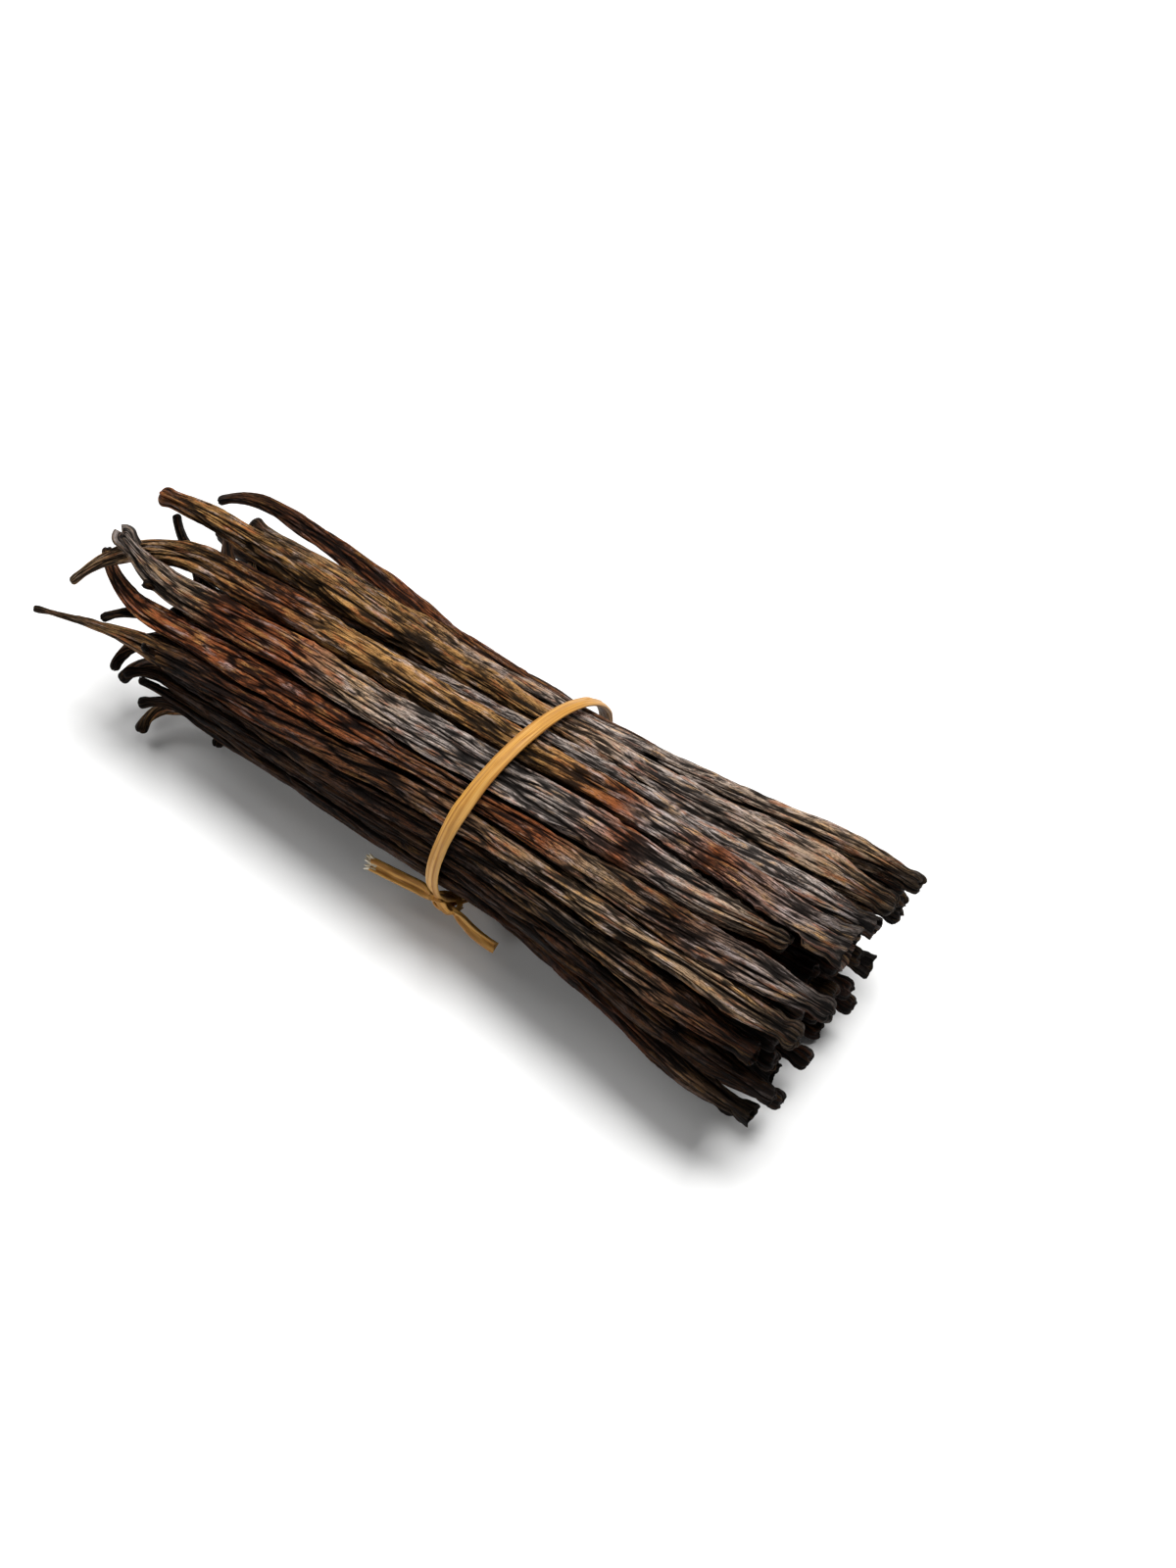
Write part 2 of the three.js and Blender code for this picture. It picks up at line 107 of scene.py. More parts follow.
# Pods that show from the near side, from the far edge down to the near one: seat, stem and blunt
# angles, width, distance back and front, lift, spread, and the tip's length, turn, bend and end.
SHOWN = [
    (147, 147, 155, 5.8, 69, 65, 10.1, 0, (15, 41, -55, 0.9)),
    (132, 126, 139, 6.2, 64, 68, 6.6, 2.0, (6, 25, 85, 1.3)),
    (116, 112, 120, 7.0, 73, 67, 6.9, 0.4, (12, 15, 44, 1.8)),
    (101, 104, 102, 5.0, 60, 67, -3.0, 0.2, (8, 80, 80, 0.8)),
    (88, 93, 88, 7.2, 64, 66, 4.1, 1.2, (33, 76, -19, 0.8)),
    (70, 71, 78, 8.4, 66, 57, 1.6, -0.2, (21, 42, 108, 1.5)),
    (53, 48, 60, 6.6, 68, 68.6, -0.2, 0.4, (26, 41, 173, 1.1)),
    (38, 30, 44, 6.4, 59, 66, 1.6, 0, (38, 17, -6, 0.6)),
    (22, 20, 25, 6.2, 62, 61, 0, 0, (15, 130, 70, 0.7)),
    (7, 7, 7, 6.3, 68, 66, -0.4, 0, (9, 60, 10, 0.9)),
    (-9, -7, -12, 6.4, 62, 64, 0, 1.6, (14, 95, 60, 0.8)),
    (-26, -23, -30, 6.2, 66, 60, 0.3, 2.2, (10, 50, 0, 0.9)),
]
HIDDEN = {"first": -45, "last": -201, "count": 10, "ring": 16.9, "width": 6.3}
INNER = [(11.3, 13, 6.1), (5.7, 6, 6.0), (0, 1, 6.0)]
OUTER_RING = 16.9

AIM = (8.9, 8.7, 22.5)  # what the camera looks at, in the layout

# How wide the strip is drawn along the loop, and how far its flat side leans: (angle, value).
LOOP_DRAWN = [
    (0, 0.8), (25, 0.85), (48, 1.12), (75, 1.0), (110, 0.95), (200, 1.0), (300, 0.9), (335, 0.75), (360, 0.8)
]
LOOP_LEAN = [(0, 0.25), (20, 0.3), (40, 0.0), (60, -0.1), (100, 0.05), (300, 0.0), (340, 0.1), (360, 0.25)]
LOOP_SEAM = 255  # the angle at which the loop's fibres start, under the bundle

# How the strip runs in the knot: along the loop, along the bundle and out from the pods, the way that
# its flat side faces (along the bundle, out), and how narrow it is drawn.
KNOT_OVER = [
    (6, 0, 0.5, 0, 1, 1),
    (3.6, 0.1, 0.9, 0, 1, 0.9),
    (1.9, 0.5, 1.9, 0.1, 1, 0.78),
    (0.6, 1.3, 2.5, 0.5, 0.85, 0.7),
    (-0.5, 2, 1.6, 1, 0.1, 0.66),
    (-1.1, 1.2, 0.6, 0.5, -0.85, 0.66),
    (-0.6, -0.6, 0.5, -0.3, -0.9, 0.66),
    (0.3, -1.9, 1, -0.9, -0.4, 0.68),
    (0.9, -2, 2, -0.9, 0.5, 0.72),
    (0.2, -0.8, 2.8, -0.2, 1, 0.74),
    (-1, 0.9, 2.6, 0.4, 0.9, 0.7),
    (-1.6, 1.9, 1.4, 1, 0, 0.6),
]
KNOT_UNDER = [
    (-6, 0, 0.5, 0, 1, 1),
    (-3.6, 0, 0.9, 0, 1, 0.9),
    (-2.3, -0.6, 1.6, -0.2, 1, 0.78),
    (-1.3, -1.5, 1.5, -0.8, 0.5, 0.7),
    (-0.3, -1.2, 1, -0.5, 0.8, 0.6),
]

# ---- How the skins are drawn, in millimetres.

DRAWN = {"shown": (104, 0.85), "hidden": (64, 1.3), "inner": (48, 1.5)}  # sides, distance of the rings
END_STEPS = {"share": 0.4, "length": 8}  # the rings are closer together near both ends
DENSE = 0.42  # how much closer the points are on a pod's outer side
PRESS = 11  # how squarely a pod fills the room that its neighbours leave
SQUARENESS = 2.9  # exponent of a pod's outline where it is full
BITE = 0.18  # how far neighbouring skins overlap
NEAR = 1.3  # a neighbour presses within this many times the two radii
CAP = 1.3  # length of the rounded blunt end
# Rings that close an end, past its last full section: distance, share of the section.
KNOB = [
    (0.3, 1.0), (0.62, 0.96), (0.9, 0.89), (1.12, 0.78), (1.26, 0.64),
    (1.3, 0.5), (1.24, 0.36), (1.1, 0.24), (0.95, 0.12),
]
CUP = [
    (0.4, 1.03), (0.8, 1.06), (1.1, 1.04), (1.25, 0.97), (1.2, 0.89),
    (0.9, 0.82), (0.2, 0.76), (-0.9, 0.68), (-1.9, 0.5), (-2.3, 0.25),
]
TIP = [(0.25, 0.98), (0.5, 0.9), (0.72, 0.74), (0.88, 0.52), (0.97, 0.26)]
RIM = [(0.15, 2, 33), (0.07, 5, 34)]  # a blunt end's unevenness: height, waves round it, use of chance
BLUNT_STYLE = {4: "slit", 10: "cup"}
KNOB_SHARE = 0.85  # how many of the other blunt ends are knobs, and not cups
# Bumps and dips along a pod: the range of heights, as shares of the thickness, the place and length.
WAIST = {"height": (-0.052, -0.182), "at": 3.2, "length": 1.1}
HEAD = {"height": (0.16, 0.16), "at": 0.6, "length": 1.1}
BUD = {"height": (0, 0.3), "at": 1.2, "length": 0.9}
FLARE = {"height": (1, 1), "at": 0, "length": 4, "wide": 0.35, "flat": 0.12}  # of the slit end
TAPER = {"least": (0.66, 0.82), "length": 13}  # how the other blunt ends narrow
FORK = {"pod": 5, "length": 5, "wide": 0.6, "pinch": 0.15, "ahead": (0.1, 1.6)}  # a tip split in two
SLIM = {7: 0.4}  # how much thinner a long tip is drawn
SLIM_SPAN = {"from": 1, "rise": 3, "to": 30, "fall": 16}
CALM = {"blunt": 7, "tip": 5, "least": 0.35}  # the wrinkles fade over these lengths towards the ends
DARK_END = {"blunt": 12, "tip": 4, "least": 0.17}  # and the ridges darken
PALE_TIPS = {2, 4, 5}  # pods whose stem tips stay light
TWIST = 0.012  # the most that the grain turns round a pod, in radians for each millimetre
GRAIN_ROUND = 0.7  # how little the grain crowds where a pod is thin
GRAIN_APART = (211.0, 17.0)  # between two pods' patterns, along and across
BAKE = {"edge": 0.01, "lane": 0.03, "pole": 0.004}  # margins in the bake map

# Patterns of the skins and of the raffia: cells in a millimetre along and across the grain, detail,
# roughness and distortion.
PATTERNS = {
    "lump": (0.075, 0.2, 1, 0.5, 0),
    "fold": (0.03, 0.33, 2, 0.5, 0.2),
    "ridge": (0.07, 0.85, 2, 0.6, 0.3),
    "kinked": (0.05, 0.12, 1, 0.5, 0),
    "kink": (0.7, 0.24, 2, 0.6, 0.5),
    "wart": (0.3, 0.5, 1.5, 0.5, 0),
    "fibre": (0.9, 8.2, 2, 0.6, 0.15),
    "strand": (0.4, 4.3, 3, 0.6, 0.15),
    "speck": (2.3, 7.0, 1, 0.5, 0),
    "patch": (0.045, 0.16, 2, 0.5, 0),
    "thread": (0.32, 5.0, 2, 0.55, 0.15),
    "furrow": (0.09, 1.75, 3, 0.6, 0),
    "mottle": (0.26, 1.4, 4, 0.72, 0.3),
    "hue": (0.17, 0.65, 4, 0.65, 0),
    "raffia fibre": (0.05, 4.0, 3, 0.65, 0),
    "raffia streak": (0.05, 1.2, 2, 0.5, 0),
    "raffia fleck": (0.3, 1.5, 3, 0.7, 0),
    "raffia rib": (0.06, 3.2, 3, 0.6, 0),
    "raffia fold": (0.11, 0.0, 1, 0.5, 0),
    "cut streak": (0.3, 3.0, 2, 0.5, 0),
}
# Where a pattern or another value begins and ends to count, and what it gives there if not 0 and 1.
WINDOWS = {
    "girth": (0.3, 3.0, 0.25, 1.0),  # half widths at which the wrinkles come to their full depth
    "lump": (0.3, 0.7),
    "kinked": (0.56, 0.68),
    "wart": (0.68, 0.8),
    "patch": (0.33, 0.67, -0.055, 0.05),
    "light": (0.355, 0.48),
    # crest: how the light fibres fade out towards the creases, as painted shade.
    "crest": (0.05, 0.7, 1.0, 0.0),
    "mottle": (0.54, 0.66),
    # bare: the fibres darken where a pod presses on its neighbours, as painted shade between the pods.
    "bare": (0.52, 0.97, 0.1, 1.0),
    "level": (0.02, 0.24, 0.16, 1.1),
    "hue": (0.5, 0.66, 0.0),
    "soaked": (0.42, 0.56, 0.65, 0.1),
    "raffia fibre": (0.35, 0.65),
    "raffia streak": (0.45, 0.7, 0.0, 0.4),
    "raffia fleck": (0.6, 0.72, 0.0, 0.5),
    "raffia rough": (0.3, 0.7, 0.58, 0.42),
    "raffia rib": (0.3, 0.7, 1.0, 0.0),
    "roof": (0.0, 0.45, 1.0, 0.0),
    "hem": (0.0, 0.05),
    "outer face": (-0.1, 0.3),
    "cut streak": (0.35, 0.65),
}
# Dark lines on the skins: the pattern that they follow, their width in it, and how dark they are.
LINES = {
    "crease": ("fold", 0.04, 1.0),
    "trough": ("fold", 0.13, 0.4),
    "groove": ("ridge", 0.09, 0.8),
    "kink": ("kink", 0.1, 0.6),
    "thread": ("thread", 0.05, 0.8),
    "furrow": ("furrow", 0.035, 0.85),
}
TROUGH_SHARE = 0.55  # of a fold's depth; the crease in the trough has the rest
FIBRES = {"fibre": 0.52, "strand": 0.3, "speck": 0.18}  # what the light fibres are mixed from
OILY = {"cover": 0.45, "gloss": 0.15, "crease_shade": 0.9}  # how far oil hides fibres and shines, and how far the creases take the oil colour as painted shade
VALLEY_TINT = 0.12
STRIP = {"sides": 44, "square": 0.6, "across": 2.6, "face": 0.8, "fold way": 1.6, "hem way": 1.1}

# ---- Colours, in scene-linear light.

FLECKS = [((0.69, 0.37, 0.12), 0.7), ((0.54, 0.46, 0.45), 0.65), ((0.38, 0.11, 0.033), 0.75)]  # on ridges; the grey flecks are partly the fibres' grey-beige and partly painted sheen
RAFFIA_STREAK = (0.70, 0.43, 0.14, 1)
RAFFIA_FLECK = (0.22, 0.085, 0.018, 1)
CUT_FIBRE = [(0.62, 0.48, 0.26, 1), (0.90, 0.86, 0.76, 1)]

# The pods' ridges, and where their colours lie on the pods that show: (distance from the tie towards
# the blunt end, colour, brightness), read between the places.
RIDGE = {
    "gold": (0.61, 0.32, 0.11),
    "tan": (0.56, 0.37, 0.22),
    # grey: partly the fibres' own grey-beige, partly painted sheen of the satin skin, chiefly where the
    # tables below brighten it past 1.
    "grey": (0.57, 0.475, 0.42),
    "red": (0.37, 0.108, 0.036),
    "umber": (0.22, 0.092, 0.037),
}
TINTS = {
    0: [(-80, "umber", 0.7), (-40, "red", 0.8), (0, "umber", 0.8), (60, "grey", 0.6)],
    1: [(-70, "tan", 0.6), (-30, "gold", 0.65), (10, "grey", 1.05), (60, "tan", 0.95)],
    2: [
        (-84, "red", 1.0), (-76, "gold", 0.65), (-30, "gold", 0.8), (0, "gold", 0.85), (25, "grey", 1.05),
        (60, "tan", 1.0),
    ],
    3: [(-60, "umber", 0.8), (0, "grey", 0.95), (60, "grey", 1.05)],
    4: [
        (-95, "tan", 0.8), (-70, "gold", 0.65), (-48, "red", 0.9), (-40, "gold", 0.8), (-20, "gold", 1.05),
        (5, "gold", 1.0), (22, "red", 0.9), (30, "grey", 1.05), (40, "red", 0.9), (64, "grey", 1.3),
    ],
    5: [
        (-85, "grey", 0.75), (-66, "tan", 0.75), (-60, "red", 0.9), (-54, "red", 0.9), (-42, "red", 0.95),
        (-30, "tan", 0.95), (-12, "grey", 1.1), (15, "grey", 1.1), (27, "red", 0.9), (35, "grey", 1.15),
        (55, "tan", 1.25),
    ],
    6: [
        (-90, "umber", 0.8), (-75, "red", 1.2), (-50, "red", 1.1), (-30, "red", 0.8), (-5, "umber", 1.0),
        (14, "red", 1.0), (24, "tan", 0.8), (40, "umber", 0.9), (66, "grey", 0.95),
    ],
    7: [
        (-98, "tan", 0.55), (-75, "gold", 0.4), (-62, "umber", 0.45), (-45, "red", 0.48), (-15, "umber", 0.9),
        (25, "tan", 0.8), (64, "tan", 0.8),
    ],
    # Pods 8 to 11 lie on the near flank: their low brightness is painted shade of the near side, over their
    # own darker tone.
    8: [(-70, "umber", 0.26), (0, "umber", 0.38), (30, "tan", 0.36), (60, "red", 0.4)],
    9: [(-70, "umber", 0.2), (0, "umber", 0.28), (60, "umber", 0.33)],
    10: [(-70, "umber", 0.24), (0, "umber", 0.25), (40, "red", 0.25), (64, "tan", 0.32)],
    11: [(-70, "umber", 0.22), (0, "umber", 0.25), (60, "umber", 0.25)],
}
# The other pods' ridges: the colours that chance picks from, their places and range of brightness.
OTHER_TINTS = {
    "names": ["umber", "tan", "red", "umber", "gold", "grey"],
    "places": (-80, -35, 5, 45),
    "level": (0.3, 0.55),
}

# ---- The stage, in metres and watts.

FLOOR_HALF = 15.0
FLOOR_DROP = 0.0002  # below the lowest pods, so that no skin lies in the floor's plane
SKY = (0.045, 0.9)  # how bright the sky is as a light, and as the camera sees it
LAMPS = {
    "overhead": ((0.6, 1.8, 4.8), 3.0, 378.0),
    "side": ((-4.2, 0.6, 3.6), 3.0, 108.0),
    "near": ((-0.6, -4.8, 3.0), 3.6, 79.0),
}


# ---- The bundle's rule, as in the part's source.


def mix(a, b, u):
    return a + (b - a) * u


def ease(u):
    u = np.clip(u, 0, 1)
    return u * u * (3 - 2 * u)


def chance(pod, use):
    """A number from 0 to 1 that is always the same for one pod and one use."""
    v = math.sin(pod * 12.9898 + use * 78.233) * 43758.5453
    return v - math.floor(v)


def outward(angle):
    """A unit vector at an angle round the bundle, in degrees."""
    turn = np.radians(np.asarray(angle, float))
    return np.stack([np.zeros_like(turn), -np.cos(turn), np.sin(turn)], -1)


def unit(v):
    return v / np.maximum(np.linalg.norm(v, axis=-1, keepdims=True), 1e-9)


def towards_end(x):
    """Which distances x from the tie are on the stem side, and how far each is towards its end."""
    stem = x < 0
    return stem, ease(np.abs(x) / np.where(stem, STEM_END["reach"], BLUNT_END["reach"]))


def outline(x):
    """Half width, half height and middle of the bundle at distances x from the tie."""
    x = np.asarray(x, float)
    stem, u = towards_end(x)
    ends = {k: np.where(stem, STEM_END[k], BLUNT_END[k]) for k in STEM_END}
    middle_z = mix(AXIS_HEIGHT, ends["height"] + ends["rise"], u)
    middle = np.stack([x, ends["sway"] * u, middle_z], -1)
    return mix(TIE["width"], ends["width"], u), mix(TIE["height"], ends["height"], u), middle


def ruled_pod(index, seat, ring, width):
    """A pod that the tables leave to rule."""

    def pick(low, high, use):
        return mix(low, high, chance(index, use))

    return {
        "index": index,
        "seat": seat,
        "stem": seat + pick(-5, 5, 1),
        "blunt": seat + pick(-5, 5, 2),
        "width": width * pick(0.94, 1.06, 3),
        "back": pick(56, 74, 4),
        "front": pick(55, 66, 5),
        "lift": pick(-0.6, 1.6, 6),
        "spread": pick(-0.5, 0.9, 7),
        "tip": (pick(8, 18, 8), pick(20, 120, 9), seat + pick(-80, 80, 10), pick(0.8, 1.2, 11)),
        "ring": ring,
    }


def all_pods():
    names = ("seat", "stem", "blunt", "width", "back", "front", "lift", "spread", "tip")
    pods = [{"index": k, "ring": OUTER_RING, **dict(zip(names, row))} for k, row in enumerate(SHOWN)]
    for k in range(HIDDEN["count"]):
        seat = mix(HIDDEN["first"], HIDDEN["last"], k / (HIDDEN["count"] - 1))
        pods.append(ruled_pod(len(pods), seat, HIDDEN["ring"], HIDDEN["width"]))
    for ring, count, width in INNER:
        for k in range(count):
            pods.append(ruled_pod(len(pods), 360 * (k + 0.5) / count + 3 * ring, ring, width))
    for pod in pods:
        lay(pod)
    return pods


def seat_point(pod, x):
    """Where a pod's middle line passes at distances x from the tie."""
    width, height, middle = outline(x)
    stem, u = towards_end(x)
    phase = math.tau * chance(pod["index"], 20)
    wander = WANDER["size"] * np.sin(x / WANDER["length"] + phase) * ease(np.abs(x) / WANDER["clear"])
    angle = mix(pod["seat"], np.where(stem, pod["stem"], pod["blunt"]), u) + wander * WANDER["turn"]
    ring = pod["ring"] + np.where(stem, pod["lift"], pod["spread"]) * u + wander * WANDER["off"]
    way = outward(angle)
    lowest = mix(FLOOR_SEAT, np.where(stem, TIP_SEAT, FLOOR_SEAT), u)
    y = middle[:, 1] + way[:, 1] * ring * width / NOMINAL_RADIUS
    z = middle[:, 2] + way[:, 2] * ring * height / NOMINAL_RADIUS
    return np.stack([x, y, np.maximum(z, lowest)], -1)


def lay(pod):
    """Works out a pod's middle line from its blunt end to its stem tip, and its thickness along it."""
    count = math.ceil((pod["front"] + pod["back"]) / STEP - 1e-9)
    points = list(seat_point(pod, pod["front"] - STEP * np.arange(count)))
    heading = unit(points[-1] - points[-2])
    length, turn, bend_angle, end = pod["tip"]
    bend = outward(bend_angle)
    bend = unit(bend - bend.dot(heading) * heading)
    steps = math.floor(length / STEP + 0.5)
    for k in range(1, steps + 1):
        turned = math.radians(turn) * (k / steps) ** CURL_START
        place = points[-1] + STEP * (math.cos(turned) * heading + math.sin(turned) * bend)
        place[2] = max(place[2], TIP_SEAT)
        points.append(place)
    pod["line"] = np.array(points)
    pod["length"] = (len(points) - 1) * STEP
    along = STEP * np.arange(len(points))
    from_tip = pod["length"] - along
    growth = NECK["share"] * ease(from_tip / NECK["length"]) + (1 - NECK["share"]) * ease(from_tip / GROWTH)
    swell = 1 + SWELL["share"] * np.sin(along / SWELL["length"] + math.tau * chance(pod["index"], 21))
    narrowing = mix(BLUNT["share"], 1, ease(along / BLUNT["length"]))
    pod["radii"] = mix(end, pod["width"] / 2, growth) * swell * narrowing


def stations_at(pod, along):
    """The places, directions and half widths at distances along a laid pod."""
    line, radii = pod["line"], pod["radii"]
    at = np.clip(along / STEP, 0, len(line) - 1)
    k = np.minimum(np.floor(at).astype(int), len(line) - 2)
    part = (at - k)[:, None]
    place = mix(line[k], line[k + 1], part)
    slope = np.gradient(line, axis=0)
    heading = unit(mix(slope[k], slope[k + 1], part))
    return place, heading, mix(radii[k], radii[k + 1], part[:, 0])


def tie_shift(angle):
    return LEAN["shift"] + LEAN["reach"] * np.cos(np.radians(angle - LEAN["towards"]))


def tie_point(angle, off):
    """A point of the tie's loop, off being its distance out from the squeezed pods."""
    way = outward(angle)
    middle = outline(np.array(0.0))[2]
    place = middle + way * np.array([0, TIE["width"], TIE["height"]]) + way * np.asarray(off)[..., None]
    place[..., 0] = tie_shift(angle)
    return place


def room(pod, place, heading, radius, way, others):
    """Sum of the inverse limits that the neighbours and the tie set on rays from a pod's middle."""
    total = np.zeros(way.shape[:2])
    for other in others:
        if other is pod:
            continue
        gaps = other["line"][None] - place[:, None]
        squares = (gaps**2).sum(-1)
        best = squares.argmin(1)
        rows = np.arange(len(place))
        theirs = other["radii"][best]
        near = np.sqrt(squares[rows, best]) < (radius + theirs) * NEAR
        if not near.any():
            continue
        gap = gaps[rows, best]
        along = (gap * heading).sum(-1)
        gap = gap - along[:, None] * heading
        distance = np.linalg.norm(gap, axis=-1)
        near &= distance > BITE
        distance = np.maximum(distance, 1e-6)
        share = (distance**2 + radius**2 - theirs**2) / (2 * distance)
        slack = PAST_END["slope"] * np.maximum(0, np.abs(along) - PAST_END["from"])
        share = np.maximum(share, THINNEST * radius) + slack + BITE
        facing = np.einsum("skc,sc->sk", way, gap / distance[:, None])
        facing = np.where(near[:, None], np.maximum(facing, 0), 0)
        total += (facing / share[:, None]) ** PRESS
    middle = outline(np.array(0.0))[2]
    angle = np.degrees(np.arctan2(place[:, 2] - middle[2], -place[:, 1]))
    off = np.maximum(0, np.abs(place[:, 0] - tie_shift(angle)) - GRIP["half"])
    limit = 1 + GRIP["slope"] * off ** GRIP["power"]
    w, h = TIE["width"] * limit, TIE["height"] * limit
    py, pz = (place[:, 1] / w)[:, None], ((place[:, 2] - middle[2]) / h)[:, None]
    uy, uz = way[..., 1] / w[:, None], way[..., 2] / h[:, None]
    a, b, c = uy * uy + uz * uz, py * uy + pz * uz, py * py + pz * pz - 1
    held = (np.abs(place[:, 0]) < GRIP["reach"])[:, None] & (a > 0) & (c <= 0)
    reach = (-b + np.sqrt(np.maximum(b * b - a * c, 0))) / np.maximum(a, 1e-9)
    return total + np.where(held, np.maximum(reach, 1e-3) ** -PRESS, 0)


# ---- Skins of pods.


def spread_stations(pod, step):
    """Distances along a pod at which its skin has a ring: closer together at both ends."""
    first, last = CAP, pod["length"] - pod["tip"][3]
    places = [first]
    while places[-1] < last:
        near = min(places[-1] - first, last - places[-1])
        places.append(places[-1] + step * mix(END_STEPS["share"], 1, ease(near / END_STEPS["length"])))
    places = np.array(places)
    return first + (places - first) * (last - first) / (places[-1] - first)


def swelling(x, kind, luck=0.0):
    """A bump or dip along a pod, as a share of its thickness at distances x."""
    return mix(*kind["height"], luck) * np.exp(-(((x - kind["at"]) / kind["length"]) ** 2))


def end_shape(pod, style, along, turn):
    """How thick a skin is drawn along the pod and round it, towards its ends."""
    index, from_tip, past_cap = pod["index"], pod["length"] - along, along - CAP
    wide, flat = np.cos(turn) ** 2, np.sin(turn) ** 2
    shape = 1 + swelling(along, WAIST, chance(index, 30))
    shape *= 1 + swelling(from_tip, BUD, chance(index, 31))
    slim = ease((from_tip - SLIM_SPAN["from"]) / SLIM_SPAN["rise"])
    slim *= ease((SLIM_SPAN["to"] - from_tip) / SLIM_SPAN["fall"])
    shape *= 1 - SLIM.get(index, 0) * slim
    if style != "slit":
        least = mix(*TAPER["least"], chance(index, 36))
        shape *= mix(least, 1, ease(past_cap / TAPER["length"])) * (1 + swelling(past_cap, HEAD))
    shape = shape[:, None]
    if index == FORK["pod"]:
        split = ease(1 - from_tip / FORK["length"])[:, None]
        shape = shape * (1 + split * (FORK["wide"] * wide - FORK["pinch"]))
    if style == "slit":
        flare = swelling(past_cap, FLARE)[:, None]
        shape = shape * (1 + flare * (FLARE["wide"] * wide - FLARE["flat"] * flat))
    return shape


def closing(rows, foot, ahead, size, girth, offsets, uneven):
    """Rings that close a skin past its last section, and how far along the skin they are from it."""
    far, share = np.array([(0, 1), *rows]).T
    travel = np.cumsum(np.hypot(np.diff(far) * size, np.diff(share) * girth))
    far, share = far[1:, None, None], share[1:, None, None]
    return foot + ahead * far * size * uneven + offsets * share, travel


def pod_skin(pod, pods, sides, step):
    """Rings of points from the blunt end's middle to the tip's, with what the materials read."""
    index, end = pod["index"], pod["tip"][3]
    along = spread_stations(pod, step)
    place, heading, radius = stations_at(pod, along)
    foot = stations_at(pod, np.minimum(along, pod["length"] - pod["tip"][0]))[0]
    side = foot - outline(foot[:, 0])[2]
    side[:, 0] = 0
    side = np.where((side**2).sum(-1, keepdims=True) > 1, unit(side), np.array([0, 0, 1.0]))
    up = unit(side - (side * heading).sum(-1, keepdims=True) * heading)
    across = np.cross(up, heading)
    t = math.tau * np.arange(sides) / sides
    turn = t + DENSE * np.cos(t)
    way = across[:, None] * np.cos(turn)[:, None] + up[:, None] * np.sin(turn)[:, None]
    full = radius / (pod["width"] / 2)
    flat = mix(1, FLATNESS, np.minimum(1, full))[:, None]
    square = mix(2, SQUARENESS, ease(full))[:, None]
    free = (np.abs(np.cos(turn)) ** square + np.abs(np.sin(turn) / flat) ** square) ** (-1 / square)
    free = radius[:, None] * free * (1 + LOBES * np.cos(3 * turn + math.tau * chance(index, 22)))
    reach = (free**-PRESS + room(pod, place, heading, radius, way, pods)) ** (-1 / PRESS)
    style = BLUNT_STYLE.get(index, "knob" if chance(index, 32) < KNOB_SHARE else "cup")
    offsets = way * (reach * end_shape(pod, style, along, turn))[..., None]

    rim = 1 + sum(size * np.sin(waves * turn + 6 * chance(index, use)) for size, waves, use in RIM)
    rows = KNOB if style == "knob" else CUP
    caps, spent = closing(rows, place[0], -heading[0], 1.0, radius[0], offsets[0], rim[:, None])
    travel = [along[0] - spent[::-1], along]
    forked = mix(*FORK["ahead"], np.cos(turn) ** 2)[:, None] if index == FORK["pod"] else 1.0
    tips, spent = closing(TIP, place[-1], heading[-1], end, end, offsets[-1], forked)
    travel = np.concatenate([*travel, along[-1] + spent])
    rings = np.concatenate([caps[::-1], place[:, None] + offsets, tips])

    ends = (len(caps), len(tips))
    girth = np.pad(radius, ends, "edge")
    from_blunt = np.pad(along - CAP, ends, constant_values=(0, pod["length"]))
    from_tip = np.pad(pod["length"] - along, ends, constant_values=(pod["length"], 0))
    calm = mix(CALM["least"], 1, ease(from_blunt / CALM["blunt"]) * ease(from_tip / CALM["tip"]))
    at_tip = 1 if index in PALE_TIPS else ease(from_tip / DARK_END["tip"])
    shade = mix(DARK_END["least"], 1, ease(from_blunt / DARK_END["blunt"]) * at_tip)

    spin = turn + mix(-TWIST, TWIST, chance(index, 35)) * travel[:, None]
    thick = mix(girth, pod["width"] / 2, GRAIN_ROUND)[:, None]
    grain_x = np.broadcast_to(travel[:, None] + GRAIN_APART[0] * index, spin.shape)
    grain_y = thick * np.cos(spin) + GRAIN_APART[1] * index
    tint = tint_along(index, rings[..., 0].mean(1)) * shade[:, None]
    return {
        "rings": rings,
        "poles": [caps[-1].mean(0), tips[-1].mean(0)],
        "travel": travel,
        "fields": {
            "grain": np.stack([grain_x, grain_y, thick * np.sin(spin)], -1),
            "girth": np.broadcast_to((girth * calm)[:, None], spin.shape),
            "bare": np.pad(reach / free, (ends, (0, 0)), "edge"),
            "tint": np.broadcast_to(tint[:, None], (*spin.shape, 3)),
        },
    }


def tint_along(index, x):
    """The colour of a pod's ridges at places x along the bundle."""
    names, level = OTHER_TINTS["names"], OTHER_TINTS["level"]
    rows = TINTS.get(index) or [
        (at, names[int(chance(index, 40 + k) * len(names))], mix(*level, chance(index, 50 + k)))
        for k, at in enumerate(OTHER_TINTS["places"])
    ]
    places = [row[0] for row in rows]
    colours = np.array([np.array(RIDGE[row[1]]) * row[2] for row in rows])
    return np.stack([np.interp(x, places, colours[:, c]) for c in range(3)], -1)


